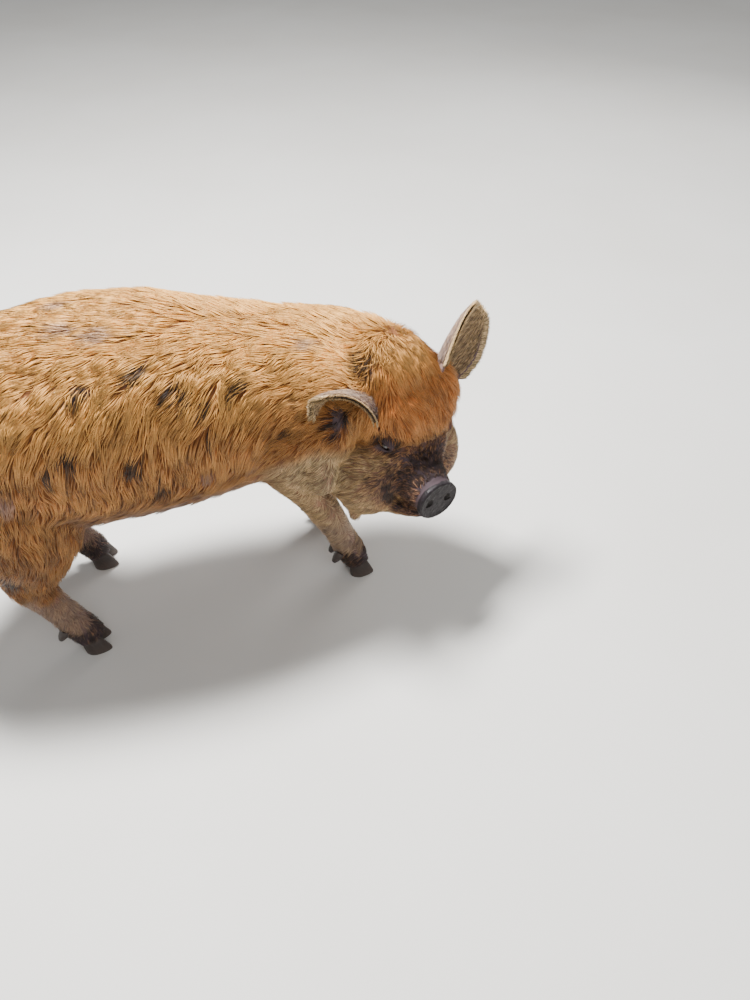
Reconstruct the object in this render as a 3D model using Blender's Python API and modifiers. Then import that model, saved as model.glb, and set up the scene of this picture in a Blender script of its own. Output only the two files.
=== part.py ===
"""A kunekune pig, life size, standing with its head turned to its right and lowered.

The body heads along +X, the pig's left is +Y and the soles stand at Z = 0.
Trunk, neck, head and legs are lofts along bent centre lines, fused into one skin.
The skin stands out to the tips of the coat, and thin cuts part it into its nodes.
"""
import math

import bmesh
import bpy
import numpy as np
from mathutils import Matrix, Vector
from mathutils.bvhtree import BVHTree

GAP = 0.0003                # air between two nodes, m
ROOM = 0.0007               # growth of a seated piece's room
FINE = 0.0055               # cell of the fused skin, m
SKIN_TRIANGLES = 6300
SMOOTH_PASSES = 8
CRUMB = 60                  # a loose part of fewer faces is a cut-off tip
SHARP = math.radians(40.0)  # a steeper edge is shaded sharp
WELD = 1e-6                 # points closer than this are one

# Trunk and neck, tail end first: x, y, z of the centre line, half width, rise, drop
TRUNK = (
    (-0.432, 0.000, 0.408, 0.030, 0.034, 0.035),
    (-0.415, 0.000, 0.405, 0.078, 0.078, 0.086),
    (-0.370, 0.000, 0.398, 0.114, 0.115, 0.124),
    (-0.290, 0.000, 0.388, 0.135, 0.141, 0.136),
    (-0.200, 0.000, 0.382, 0.146, 0.158, 0.140),
    (-0.110, 0.000, 0.380, 0.151, 0.167, 0.142),
    (-0.020, 0.000, 0.378, 0.148, 0.159, 0.137),
    (0.060, 0.000, 0.376, 0.138, 0.135, 0.124),
    (0.130, 0.000, 0.370, 0.127, 0.120, 0.120),
    (0.190, -0.004, 0.362, 0.120, 0.117, 0.118),
    (0.240, -0.018, 0.356, 0.110, 0.113, 0.114),
    (0.278, -0.045, 0.350, 0.092, 0.100, 0.106),
    (0.296, -0.078, 0.340, 0.062, 0.068, 0.072),
)

# Head frame: its origin is the middle of the snout disc, x runs out of the disc, z up
DISC = Vector((0.317, -0.174, 0.250))
HEADING = math.radians(-71.0)
NOD = math.radians(-1.0)
ROLL = math.radians(-8.0)
DISC_WIDE = 0.0350
DISC_HIGH = 0.0310
DISC_THICK = 0.010
NOSTRIL_APART = 0.0170
NOSTRIL_RADIUS = 0.0062
NOSTRIL_DEEP = 0.0070
EYE_RAY = (Vector((-0.083, 0.020, 0.074)), Vector((0.30, 0.95, 0.10)))
EYE_FACING = Vector((0.62, 0.76, 0.10))
EYE_SLANT = Vector((1.0, 0.0, -0.45))
EYE_REACH = 0.2             # from the ray's start to well outside the head
EYE_RADIUS = 0.0105
EYE_SUNK = 0.0085           # centre of the ball below the skin
LID_THICK = 0.0026
SLIT_LONG = 0.0100
SLIT_HIGH = 0.0030
MOUTH_CORNER = Vector((-0.078, 0.060, -0.024))
MOUTH_FRONT = Vector((-0.014, 0.0, -0.032))
MOUTH_RADIUS = 0.0022
EAR_LONG = 0.121
EAR_WIDE = 0.051
EAR_POINT = 3.2             # power that rounds the tip off
EAR_THICK = 0.0052
EAR_SUNK = 0.16             # share of the ear's length inside the head
EAR_CURL = (1.60, 0.75)     # half angle of its section at the root and at the tip
EAR_BEND = 0.018
EAR_TURN_EASE = 1.4         # how soon the root's extra turn dies away
# Of each ear, in the head frame: root, way, the way its cup opens, its root's extra turn,
# and its width at the root with the swell and the waning towards the tip
EARS = {
    "ear_right": (
        Vector((-0.110, -0.070, 0.151)),
        Vector((0.02, -0.92, 0.24)),
        Vector((0.92, -0.10, -0.50)),
        math.radians(-82.0),
        (1.00, 0.55, -0.70),
    ),
    "ear_left": (
        Vector((-0.116, 0.066, 0.148)),
        Vector((-0.24, 0.57, 0.80)),
        Vector((0.95, 0.28, 0.10)),
        0.0,
        (0.72, 1.20, -0.95),
    ),
}

# Skull forms in the head frame: centre x, y, z and radii x, y, z; y counts on both sides
SKULL = (
    (-0.120, 0.000, 0.080, 0.072, 0.090, 0.084),
    (-0.122, 0.036, 0.116, 0.054, 0.060, 0.052),
    (-0.112, 0.054, 0.006, 0.060, 0.060, 0.064),
    (-0.112, 0.046, -0.022, 0.052, 0.052, 0.052),
    (-0.090, 0.026, 0.050, 0.046, 0.038, 0.046),
)
# Folds of the bent neck beside the cheek: centre x, y, z and radii
FOLDS = (
    (0.160, -0.090, 0.292, 0.026, 0.034, 0.056),
    (0.180, -0.104, 0.372, 0.020, 0.026, 0.048),
)
# Snout and lower jaw in the head frame: x, y, z, half width, rise, drop
SNOUT = (
    (0.012, 0.0, 0.000, 0.0350, 0.0310, 0.0290),
    (-0.014, 0.0, 0.001, 0.0345, 0.0325, 0.0290),
    (-0.034, 0.0, 0.005, 0.0385, 0.0380, 0.0310),
    (-0.060, 0.0, 0.012, 0.0470, 0.0480, 0.0390),
    (-0.095, 0.0, 0.022, 0.0570, 0.0600, 0.0500),
)
JAW = (
    (-0.020, 0.0, -0.034, 0.0160, 0.010, 0.010),
    (-0.038, 0.0, -0.038, 0.0250, 0.012, 0.016),
    (-0.070, 0.0, -0.044, 0.0380, 0.018, 0.026),
    (-0.115, 0.0, -0.050, 0.0520, 0.026, 0.032),
)

# Legs, root first: x, y, z, half width across, reach forward, reach back
HIND_RIGHT = (
    (-0.320, -0.050, 0.385, 0.060, 0.070, 0.060),
    (-0.298, -0.082, 0.335, 0.060, 0.094, 0.092),
    (-0.268, -0.098, 0.280, 0.050, 0.097, 0.080),
    (-0.266, -0.099, 0.225, 0.037, 0.062, 0.054),
    (-0.272, -0.096, 0.175, 0.026, 0.033, 0.036),
    (-0.260, -0.092, 0.122, 0.0225, 0.0240, 0.0240),
    (-0.244, -0.088, 0.072, 0.0220, 0.0235, 0.0245),
    (-0.234, -0.088, 0.038, 0.0235, 0.0230, 0.0230),
    (-0.229, -0.088, 0.020, 0.0230, 0.0220, 0.0220),
)
HIND_LEFT = (
    (-0.325, 0.050, 0.385, 0.060, 0.070, 0.060),
    (-0.303, 0.084, 0.335, 0.060, 0.094, 0.092),
    (-0.275, 0.100, 0.280, 0.050, 0.097, 0.080),
    (-0.268, 0.100, 0.225, 0.037, 0.060, 0.056),
    (-0.272, 0.096, 0.175, 0.026, 0.031, 0.036),
    (-0.250, 0.092, 0.118, 0.0220, 0.0240, 0.0240),
    (-0.228, 0.090, 0.070, 0.0220, 0.0235, 0.0245),
    (-0.214, 0.090, 0.038, 0.0235, 0.0230, 0.0230),
    (-0.208, 0.090, 0.020, 0.0230, 0.0220, 0.0220),
)
FORE_RIGHT = (
    (0.096, -0.040, 0.370, 0.056, 0.052, 0.060),
    (0.108, -0.060, 0.320, 0.052, 0.050, 0.060),
    (0.126, -0.062, 0.268, 0.040, 0.036, 0.044),
    (0.146, -0.058, 0.216, 0.030, 0.027, 0.031),
    (0.170, -0.056, 0.160, 0.0255, 0.0255, 0.0265),
    (0.190, -0.056, 0.110, 0.0220, 0.0230, 0.0235),
    (0.204, -0.056, 0.068, 0.0220, 0.0235, 0.0245),
    (0.216, -0.058, 0.038, 0.0235, 0.0230, 0.0230),
    (0.221, -0.058, 0.020, 0.0230, 0.0220, 0.0220),
)
FORE_LEFT = (
    (0.088, 0.055, 0.370, 0.056, 0.052, 0.060),
    (0.094, 0.080, 0.320, 0.052, 0.055, 0.062),
    (0.110, 0.086, 0.262, 0.041, 0.042, 0.050),
    (0.136, 0.082, 0.208, 0.032, 0.028, 0.036),
    (0.160, 0.078, 0.158, 0.0260, 0.0270, 0.0280),
    (0.172, 0.076, 0.110, 0.0220, 0.0230, 0.0235),
    (0.180, 0.076, 0.068, 0.0220, 0.0235, 0.0245),
    (0.192, 0.078, 0.038, 0.0235, 0.0230, 0.0230),
    (0.197, 0.078, 0.020, 0.0230, 0.0220, 0.0220),
)
LEGS = {
    "hind_right": HIND_RIGHT,
    "hind_left": HIND_LEFT,
    "fore_right": FORE_RIGHT,
    "fore_left": FORE_LEFT,
}
LEG_TOP = 0.200             # height of the cut between the trunk and a free leg
KNEE_CUT = 0.126            # height of the cut at hock or knee
LEG_REACH = 0.062           # half side of a leg's cut

# Claws of a foot: height, middle, half width, reach to the toe, reach to the heel
CLAW = (
    (0.000, 0.002, 0.0104, 0.0230, 0.0170),
    (0.004, 0.002, 0.0110, 0.0232, 0.0175),
    (0.014, 0.001, 0.0108, 0.0205, 0.0170),
    (0.026, 0.000, 0.0100, 0.0165, 0.0155),
    (0.034, -0.001, 0.0085, 0.0130, 0.0130),
)
CLAW_APART = 0.0128
CLAW_SPREAD = math.radians(6.0)
DEW_UP = 0.058
DEW_BACK = 0.019
DEW_APART = 0.0120
DEW_RADII = (0.0080, 0.0082, 0.0068, 0.0040)
DEW_STEP = Vector((-0.0045, 0.0, -0.0070))

TAIL_RADII = (0.0160, 0.0150, 0.0130, 0.0110, 0.0095, 0.0090, 0.0125, 0.0130, 0.0060)
TAIL_ROOT = Vector((-0.412, 0.0, 0.452))
TAIL_STEP = 0.0215
TAIL_SWING = 0.012
TASSEL_ROOT = Vector((-0.112, 0.068, -0.048))
TASSEL_RADII = (0.0085, 0.0085, 0.0095, 0.0110, 0.0095, 0.0050)
TASSEL_STEP = 0.0098

# The thin cuts: a point on the plane, the way it faces and its lowest edge
NECK_CUT = (Vector((0.1435, 0.0, 0.345)), Vector((0.951, 0.0, 0.309)), 0.203)
HEAD_CUT = (Vector((0.2324, 0.0, 0.300)), Vector((0.883, -0.469, 0.006)), 0.190)
CUT_REACH = 0.40

GINGER = (0.66, 0.43, 0.26)
HORN = (0.16, 0.12, 0.11)
SNOUT_GREY = (0.38, 0.30, 0.30)
EYE_BROWN = (0.06, 0.035, 0.025)


def material(name, colour, rough):
    made = bpy.data.materials.new(name)
    made.use_nodes = True
    shader = made.node_tree.nodes["Principled BSDF"]
    shader.inputs["Base Color"].default_value = (*(c ** 2.2 for c in colour), 1.0)
    shader.inputs["Roughness"].default_value = rough
    shader.inputs["Metallic"].default_value = 0.0
    made.diffuse_color = (*colour, 1.0)
    return made


def put(name, mesh, collection, coat=None):
    """A new object; one without a coat is a cutter or a guide."""
    made = bpy.data.objects.new(name, mesh)
    collection.objects.link(made)
    if coat:
        mesh.materials.clear()
        mesh.materials.append(coat)
    else:
        made.hide_render = True
        made.display_type = "WIRE"
    return made


def from_bmesh(bm, name):
    bmesh.ops.recalc_face_normals(bm, faces=bm.faces)
    mesh = bpy.data.meshes.new(name)
    bm.to_mesh(mesh)
    bm.free()
    return mesh


def eased(stations, steps):
    """More stations on a smooth curve through the given ones."""
    rows = np.array(stations, float)
    rows = np.vstack([2 * rows[0] - rows[1], rows, 2 * rows[-1] - rows[-2]])
    out = []
    for i in range(1, len(rows) - 2):
        a, b, c, d = rows[i - 1:i + 3]
        for t in np.linspace(0, 1, steps, endpoint=False):
            out.append(0.5 * (2 * b + (c - a) * t + (2 * a - 5 * b + 4 * c - d) * t ** 2
                              + (3 * b - a - 3 * c + d) * t ** 3))
    out.append(rows[-2])
    return np.array(out)


def loft(name, stations, upright=False, sides=28, steps=4, frame=None):
    """A closed tube along a centre line; upright lines have their sections across Y."""
    rows = eased(stations, steps)
    centres = rows[:, :3]
    ways = np.gradient(centres, axis=0)
    ways /= np.linalg.norm(ways, axis=1)[:, None]
    bm = bmesh.new()
    rings = []
    for centre, way, (wide, rise, drop) in zip(centres, ways, rows[:, 3:]):
        across = np.array((0.0, 1.0, 0.0)) if upright else np.cross((0.0, 0.0, 1.0), way)
        across = across - way * np.dot(across, way)
        across /= np.linalg.norm(across)
        up = np.cross(way, across)
        ring = []
        for turn in np.linspace(0, 2 * math.pi, sides, endpoint=False):
            tall = rise if math.sin(turn) > 0 else drop
            at = centre + across * wide * math.cos(turn) + up * tall * math.sin(turn)
            ring.append(bm.verts.new(frame @ Vector(at) if frame else at))
        rings.append(ring)
    for one, two in zip(rings, rings[1:]):
        for k in range(sides):
            bm.faces.new((one[k], one[(k + 1) % sides], two[(k + 1) % sides], two[k]))
    bm.faces.new(rings[0])
    bm.faces.new(rings[-1])
    return from_bmesh(bm, name)


def ball(name, centre, radii, frame, cuts=24):
    bm = bmesh.new()
    size = Matrix.Diagonal((*radii, 1.0))
    bmesh.ops.create_uvsphere(bm, u_segments=cuts, v_segments=cuts // 2, radius=1.0,
                              matrix=frame @ Matrix.Translation(centre) @ size)
    return from_bmesh(bm, name)


def head_frame():
    turn = Matrix.Rotation(HEADING, 4, "Z") @ Matrix.Rotation(NOD, 4, "Y")
    return Matrix.Translation(DISC) @ turn @ Matrix.Rotation(ROLL, 4, "X")


def boolean(target, cutter, operation):
    """Apply one Boolean with an object or a whole collection and drop what it used."""
    step = target.modifiers.new(operation, "BOOLEAN")
    step.operation = operation
    step.solver = "EXACT"
    if isinstance(cutter, bpy.types.Collection):
        step.operand_type = "COLLECTION"
        step.collection = cutter
    else:
        step.object = cutter
    apply_all(target)
    gone = list(cutter.objects) if isinstance(cutter, bpy.types.Collection) else [cutter]
    for used in gone:
        bpy.data.objects.remove(used)


def apply_all(thing):
    depsgraph = bpy.context.evaluated_depsgraph_get()
    mesh = bpy.data.meshes.new_from_object(thing.evaluated_get(depsgraph))
    thing.modifiers.clear()
    thing.data = mesh


def fuse(name, meshes, collection, coat):
    """One closed skin around overlapping forms, smoothed and thinned out."""
    bm = bmesh.new()
    for mesh in meshes:
        bm.from_mesh(mesh)
    whole = put(name, from_bmesh(bm, name), collection, coat)
    remesh = whole.modifiers.new("fuse", "REMESH")
    remesh.mode = "VOXEL"
    remesh.voxel_size = FINE
    soften = whole.modifiers.new("soften", "SMOOTH")
    soften.factor = 0.5
    soften.iterations = SMOOTH_PASSES
    apply_all(whole)
    bm = bmesh.new()
    bm.from_mesh(whole.data)
    bmesh.ops.triangulate(bm, faces=bm.faces)
    have = len(bm.faces)
    bm.to_mesh(whole.data)
    bm.free()
    thin = whole.modifiers.new("thin", "DECIMATE")
    thin.ratio = SKIN_TRIANGLES / have
    apply_all(whole)
    return whole


def slab(name, at, facing, wide, tall, collection):
    """A thin plate that parts what it passes through."""
    bm = bmesh.new()
    bmesh.ops.create_cube(bm, size=1.0)
    turn = facing.to_track_quat("X", "Z").to_matrix().to_4x4()
    bm.transform(Matrix.Translation(at) @ turn @ Matrix.Diagonal((GAP, wide, tall, 1.0)))
    return put(name, from_bmesh(bm, name), collection)


def cut_plates(collection):
    for name, (at, facing, low) in {"neck": NECK_CUT, "head": HEAD_CUT}.items():
        tall = CUT_REACH
        rise = Vector((0, 0, 1)) - facing * facing.z
        middle = at + rise * ((low + tall / 2 - at.z) / rise.z)
        slab(name, middle, facing, CUT_REACH, tall, collection)
    for name, leg in LEGS.items():
        for level in (LEG_TOP, KNEE_CUT):
            rows = eased(leg, 8)
            nearest = rows[np.argmin(abs(rows[:, 2] - level))]
            at = Vector((nearest[0], nearest[1], level))
            side = 2 * LEG_REACH if level == LEG_TOP else LEG_REACH
            slab(name, at, Vector((0, 0, 1)), side, side, collection)


def islands_of(bm):
    """The faces of each part of a mesh; parts that only share an edge are apart."""
    left = dict.fromkeys(bm.faces)
    islands = []
    while left:
        todo = [left.popitem()[0]]
        island = list(todo)
        while todo:
            for edge in todo.pop().edges:
                for face in edge.link_faces:
                    if face in left and len(edge.link_faces) == 2:
                        del left[face]
                        todo.append(face)
                        island.append(face)
        islands.append(island)
    return islands


def pieces_of(thing, collection, named_points, coat):
    """Split a cut mesh into its loose parts; each name takes the part around its point."""
    bm = bmesh.new()
    bm.from_mesh(thing.data)
    bmesh.ops.remove_doubles(bm, verts=bm.verts, dist=WELD / 10)
    islands = islands_of(bm)
    made = {}
    for name, point in named_points.items():
        best = min(
            (min((f.calc_center_median() - point).length for f in island), k)
            for k, island in enumerate(islands) if len(island) > CRUMB
        )[1]
        keep = set(islands[best])
        part = bm.copy()
        part.faces.ensure_lookup_table()
        drop = [part.faces[f.index] for f in bm.faces if f not in keep]
        bmesh.ops.delete(part, geom=drop, context="FACES")
        made[name] = put(name, from_bmesh(part, name), collection, coat)
    bm.free()
    bpy.data.objects.remove(thing)
    return made


def unit(vector):
    return vector / vector.length


def cupped_ear(name, root, way, opening, root_turn, widths, frame, collection, coat):
    """A pig's ear: a leaf curled into a cup, its root sunk in the head."""
    root = frame @ root
    turn = frame.to_3x3()
    long_way = unit(turn @ way)
    tip_open = turn @ opening
    tip_open = unit(tip_open - long_way * tip_open.dot(long_way))
    wide, swell, wane = widths
    rows, columns = 11, 10
    bm = bmesh.new()
    grid = []
    for i in range(rows + 1):
        u = i / rows
        half = EAR_WIDE * (wide + swell * u + wane * u * u)
        half *= math.sqrt(max(1 - u ** EAR_POINT, 0.01))
        curl = EAR_CURL[0] + (EAR_CURL[1] - EAR_CURL[0]) * u ** 0.7
        open_way = Matrix.Rotation(root_turn * (1 - u) ** EAR_TURN_EASE, 3, long_way) @ tip_open
        across = open_way.cross(long_way)
        middle = root + long_way * EAR_LONG * (u - EAR_SUNK) + tip_open * EAR_BEND * u * u
        row = []
        for j in range(columns + 1):
            angle = curl * (2 * j / columns - 1)
            reach = across * math.sin(angle) + open_way * (1 - math.cos(angle))
            row.append(bm.verts.new(middle + reach * half / curl))
        grid.append(row)
    for one, two in zip(grid, grid[1:]):
        for j in range(columns):
            bm.faces.new((one[j], one[j + 1], two[j + 1], two[j]))
    made = put(name, from_bmesh(bm, name), collection, coat)
    shell = made.modifiers.new("shell", "SOLIDIFY")
    shell.thickness = EAR_THICK
    shell.offset = 0.0
    shell.use_even_offset = True
    made.modifiers.new("triangles", "TRIANGULATE")
    apply_all(made)
    return made


def grown_copy(guest, collection):
    mesh = guest.data.copy()
    bm = bmesh.new()
    bm.from_mesh(mesh)
    bm.normal_update()
    for vertex in bm.verts:
        vertex.co += vertex.normal * ROOM
    bm.to_mesh(mesh)
    bm.free()
    return put(guest.name + "_room", mesh, collection)


def near(one, two, room=0.002):
    """Whether two objects' boxes touch."""
    a = np.array([v.co[:] for v in one.data.vertices])
    b = np.array([v.co[:] for v in two.data.vertices])
    return bool(np.all(a.min(0) - room < b.max(0)) and np.all(b.min(0) - room < a.max(0)))


def keep_largest(thing):
    """Drop the loose crumbs and sealed pockets that a Boolean leaves beside the main body."""
    bm = bmesh.new()
    bm.from_mesh(thing.data)
    islands = islands_of(bm)
    largest = max(islands, key=len)
    for island in islands:
        if island is not largest:
            bmesh.ops.delete(bm, geom=island, context="FACES")
    bm.to_mesh(thing.data)
    bm.free()


def seat(guest, hosts, tools):
    """Clear the guest's own room out of every host that it touches."""
    for host in hosts:
        if near(guest, host):
            boolean(host, grown_copy(guest, tools), "DIFFERENCE")
            keep_largest(host)


def surface_of(thing):
    bm = bmesh.new()
    bm.from_mesh(thing.data)
    tree = BVHTree.FromBMesh(bm)
    bm.free()
    return tree


def eye_frames(skin, frame):
    """For each eye: the ball's centre and axes forward, up and out."""
    tree = surface_of(skin)
    turn = frame.to_3x3()
    out = {}
    for name, side in (("eye_right", -1), ("eye_left", 1)):
        mirror = Vector((1, side, 1))
        start = frame @ (EYE_RAY[0] * mirror)
        outward = unit(turn @ (EYE_RAY[1] * mirror))
        hit = tree.ray_cast(start + outward * EYE_REACH, -outward)[0]
        facing = unit(turn @ (EYE_FACING * mirror))
        along = turn @ EYE_SLANT
        along = unit(along - facing * along.dot(facing))
        axes = Matrix((along, facing.cross(along), facing)).transposed().to_4x4()
        out[name] = Matrix.Translation(hit - outward * EYE_SUNK) @ axes
    return out


def lids(skin, frames, tools):
    """Raise the lids, slit them and hollow out the sockets."""
    lid = EYE_RADIUS + LID_THICK
    forms = (
        ("UNION", Vector((0, 0, 0)), (lid * 1.12, lid, lid)),
        ("DIFFERENCE", Vector((0, -0.001, lid)), (SLIT_LONG, SLIT_HIGH, lid)),
        ("DIFFERENCE", Vector((0, 0, 0)), (EYE_RADIUS + GAP,) * 3),
    )
    for operation, centre, radii in forms:
        for frame in frames.values():
            boolean(skin, put("lid", ball("lid", centre, radii, frame, 20), tools), operation)


def mouth(skin, frame, tools):
    """A groove from one corner of the mouth under the disc to the other."""
    tree = surface_of(skin)
    points = []
    for t in np.linspace(-1.0, 1.0, 25):
        bow = abs(t) ** 1.6
        at = MOUTH_FRONT.lerp(Vector((MOUTH_CORNER.x, 0.0, MOUTH_CORNER.z)), bow)
        at.y = MOUTH_CORNER.y * math.sin(t * math.pi / 2)
        points.append(tree.find_nearest(frame @ at)[0])
    curve = bpy.data.curves.new("mouth", "CURVE")
    curve.dimensions = "3D"
    curve.bevel_depth = MOUTH_RADIUS
    curve.bevel_resolution = 1
    curve.use_fill_caps = True
    line = curve.splines.new("POLY")
    line.points.add(len(points) - 1)
    for spot, point in zip(line.points, points):
        spot.co = (*point, 1.0)
    made = bpy.data.objects.new("mouth", curve)
    tools.objects.link(made)
    depsgraph = bpy.context.evaluated_depsgraph_get()
    mesh = bpy.data.meshes.new_from_object(made.evaluated_get(depsgraph))
    bpy.data.objects.remove(made)
    bm = bmesh.new()
    bm.from_mesh(mesh)
    bmesh.ops.remove_doubles(bm, verts=bm.verts, dist=WELD)
    boolean(skin, put("mouth", from_bmesh(bm, "mouth"), tools), "DIFFERENCE")


def clip_snout(skin, frame, tools):
    """Cut the snout's end flat for the disc."""
    bm = bmesh.new()
    bmesh.ops.create_cube(bm, size=0.1)
    bm.transform(frame @ Matrix.Translation((0.05 - DISC_THICK - GAP, 0, 0)))
    boolean(skin, put("clip", from_bmesh(bm, "clip"), tools), "DIFFERENCE")


def snout_disc(frame, pig, tools, skin_grey):
    bm = bmesh.new()
    bmesh.ops.create_cone(bm, cap_ends=True, segments=32, radius1=1, radius2=1, depth=1)
    size = Matrix.Diagonal((DISC_THICK, DISC_WIDE, DISC_HIGH, 1.0))
    place = Matrix.Translation((-DISC_THICK / 2, 0, 0)) @ size
    bm.transform(frame @ place @ Matrix.Rotation(math.pi / 2, 4, "Y"))
    disc = put("snout_disc", from_bmesh(bm, "snout_disc"), pig, skin_grey)
    rim = disc.modifiers.new("rim", "BEVEL")
    rim.width = 0.0030
    rim.segments = 2
    rim.limit_method = "ANGLE"
    apply_all(disc)
    for side in (1, -1):
        centre = Vector((0.001, side * NOSTRIL_APART, 0.001))
        radii = (NOSTRIL_DEEP, NOSTRIL_RADIUS * 0.85, NOSTRIL_RADIUS * 1.1)
        boolean(disc, put("nostril", ball("nostril", centre, radii, frame, 14), tools), "DIFFERENCE")
    return disc


def claw(name, x, y, side, collection, coat):
    """Half of a cloven hoof, flat on the floor."""
    bm = bmesh.new()
    rings = []
    turn = Matrix.Rotation(side * CLAW_SPREAD, 3, "Z")
    for height, middle, half, toe, heel in CLAW:
        ring = []
        for angle in np.linspace(0, 2 * math.pi, 16, endpoint=False):
            reach = toe if math.cos(angle) > 0 else heel
            spot = Vector((middle + reach * math.cos(angle), half * math.sin(angle), 0.0))
            spot.y *= 1.0 - 0.25 * max(math.cos(angle), 0.0)
            spot = turn @ spot
            ring.append(bm.verts.new((x + spot.x, y + side * CLAW_APART + spot.y, height)))
        rings.append(ring)
    for one, two in zip(rings, rings[1:]):
        for k in range(len(one)):
            after = (k + 1) % len(one)
            bm.faces.new((one[k], one[after], two[after], two[k]))
    bm.faces.new(rings[0])
    bm.faces.new(rings[-1])
    return put(name, from_bmesh(bm, name), collection, coat)


def hanging(name, root, steps, radii, collection, coat):
    """A round tube from a root point along equal steps."""
    at = Vector(root)
    stations = []
    for radius, step in zip(radii, steps):
        stations.append((*at, radius, radius, radius))
        at = at + step
    return put(name, loft(name, stations, upright=True, sides=12, steps=1), collection, coat)


def centre(collection):
    """Move everything so that the origin is the bottom middle of the whole."""
    spots = np.array([v.co[:] for thing in collection.objects for v in thing.data.vertices])
    low, high = spots.min(0), spots.max(0)
    shift = Vector((-(low[0] + high[0]) / 2, -(low[1] + high[1]) / 2, -low[2]))
    for thing in collection.objects:
        thing.data.transform(Matrix.Translation(shift))
        thing.data.shade_smooth()
        thing.data.set_sharp_from_angle(angle=SHARP)


def main():
    for old in list(bpy.data.objects):
        bpy.data.objects.remove(old)
    pig = bpy.data.collections.new("kunekune_pig")
    tools = bpy.data.collections.new("cutters")
    bpy.context.scene.collection.children.link(pig)
    bpy.context.scene.collection.children.link(tools)
    hair = material("ginger_coat", GINGER, 0.8)
    horn = material("horn", HORN, 0.5)
    grey = material("snout_skin", SNOUT_GREY, 0.45)
    wet = material("eye", EYE_BROWN, 0.1)

    head = head_frame()
    forms = [loft("trunk", TRUNK)]
    for name, leg in LEGS.items():
        forms.append(loft(name, leg, upright=True))
    for x, y, z, *radii in SKULL:
        for side in ((1, -1) if y else (1,)):
            forms.append(ball("skull", (x, side * y, z), radii, head))
    for x, y, z, *radii in FOLDS:
        forms.append(ball("fold", (x, y, z), radii, Matrix.Identity(4)))
    forms.append(loft("snout", SNOUT, frame=head))
    forms.append(loft("jaw", JAW, frame=head))
    skin = fuse("skin", forms, pig, hair)
    clip_snout(skin, head, tools)
    eyes = eye_frames(skin, head)
    mouth(skin, head, tools)
    lids(skin, eyes, tools)

    ears = [
        cupped_ear(name, *row, head, pig, hair)
        for name, row in EARS.items()
    ]
    cut_plates(tools)
    boolean(skin, tools, "DIFFERENCE")
    names = {
        "torso": Vector((-0.11, 0.0, 0.53)),
        "neck": Vector((0.20, 0.02, 0.47)),
        "head": head @ Vector((-0.05, 0.0, 0.06)),
    }
    for name, leg in LEGS.items():
        rows = eased(leg, 8)
        for part, level in (("upper", (LEG_TOP + KNEE_CUT) / 2), ("lower", KNEE_CUT * 0.6)):
            spot = rows[np.argmin(abs(rows[:, 2] - level))]
            names[f"leg_{name}_{part}"] = Vector(spot[:3]) - Vector((spot[5], 0, 0))
    nodes = pieces_of(skin, pig, names, hair)

    for ear in ears:
        seat(ear, [nodes["head"], nodes["neck"], nodes["torso"]], tools)
    for name, frame in eyes.items():
        put(name, ball(name, (0, 0, 0), (EYE_RADIUS,) * 3, frame, 18), pig, wet)
    snout_disc(head, pig, tools, grey)
    for name, leg in LEGS.items():
        x, y = leg[-1][:2]
        host = nodes[f"leg_{name}_lower"]
        for place, side in (("inner", -1), ("outer", 1)):
            side *= 1 if y > 0 else -1
            seat(claw(f"claw_{name}_{place}", x, y, side, pig, horn), [host], tools)
            root = Vector((leg[-3][0] - DEW_BACK, y + side * DEW_APART, DEW_UP))
            dew = hanging(f"dewclaw_{name}_{place}", root - DEW_STEP * 1.2, [DEW_STEP] * 4,
                          DEW_RADII, pig, horn)
            seat(dew, [host], tools)
    sway = [Vector((-TAIL_STEP * math.cos(a), TAIL_SWING * math.sin(2 * a),
                    -TAIL_STEP * math.sin(a))) for a in np.linspace(0.1, 1.75, len(TAIL_RADII))]
    seat(hanging("tail", TAIL_ROOT, sway, TAIL_RADII, pig, hair), [nodes["torso"]], tools)
    for name, side in (("tassel_right", -1), ("tassel_left", 1)):
        root = head @ Vector((TASSEL_ROOT.x, side * TASSEL_ROOT.y, TASSEL_ROOT.z))
        drop = [Vector((0, 0, -TASSEL_STEP))] * len(TASSEL_RADII)
        seat(hanging(name, root, drop, TASSEL_RADII, pig, hair), [nodes["head"], nodes["neck"]], tools)
    centre(pig)


main()
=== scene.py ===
"""A kunekune pig, life size: skin, bristle coat, eyes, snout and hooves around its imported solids."""
import math

import bmesh
import bpy
import numpy as np
from mathutils import Matrix, Vector
from mathutils.bvhtree import BVHTree
from mathutils.kdtree import KDTree


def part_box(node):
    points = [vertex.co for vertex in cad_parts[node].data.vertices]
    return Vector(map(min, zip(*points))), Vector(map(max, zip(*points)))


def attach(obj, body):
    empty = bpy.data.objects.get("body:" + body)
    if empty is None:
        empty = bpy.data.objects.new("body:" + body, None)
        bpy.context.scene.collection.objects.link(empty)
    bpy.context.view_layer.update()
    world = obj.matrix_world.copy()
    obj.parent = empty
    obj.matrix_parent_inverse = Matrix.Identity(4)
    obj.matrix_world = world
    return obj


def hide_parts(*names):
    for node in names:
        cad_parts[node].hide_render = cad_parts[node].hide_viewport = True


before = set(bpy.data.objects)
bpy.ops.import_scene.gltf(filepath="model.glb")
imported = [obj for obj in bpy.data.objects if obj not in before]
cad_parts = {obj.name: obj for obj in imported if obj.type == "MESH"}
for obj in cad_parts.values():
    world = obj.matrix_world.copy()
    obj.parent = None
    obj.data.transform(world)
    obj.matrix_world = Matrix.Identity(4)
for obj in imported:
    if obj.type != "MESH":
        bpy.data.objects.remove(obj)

bl_info = {
    "name": "Kunekune Pig",
    "version": (1, 0, 0),
    "blender": (4, 5, 0),
    "location": "View3D > Sidebar > Pig",
    "description": "Builds a life-size ginger kunekune pig with black spots",
    "category": "Add Mesh",
}

MM = 0.001
SEED = 23


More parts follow.
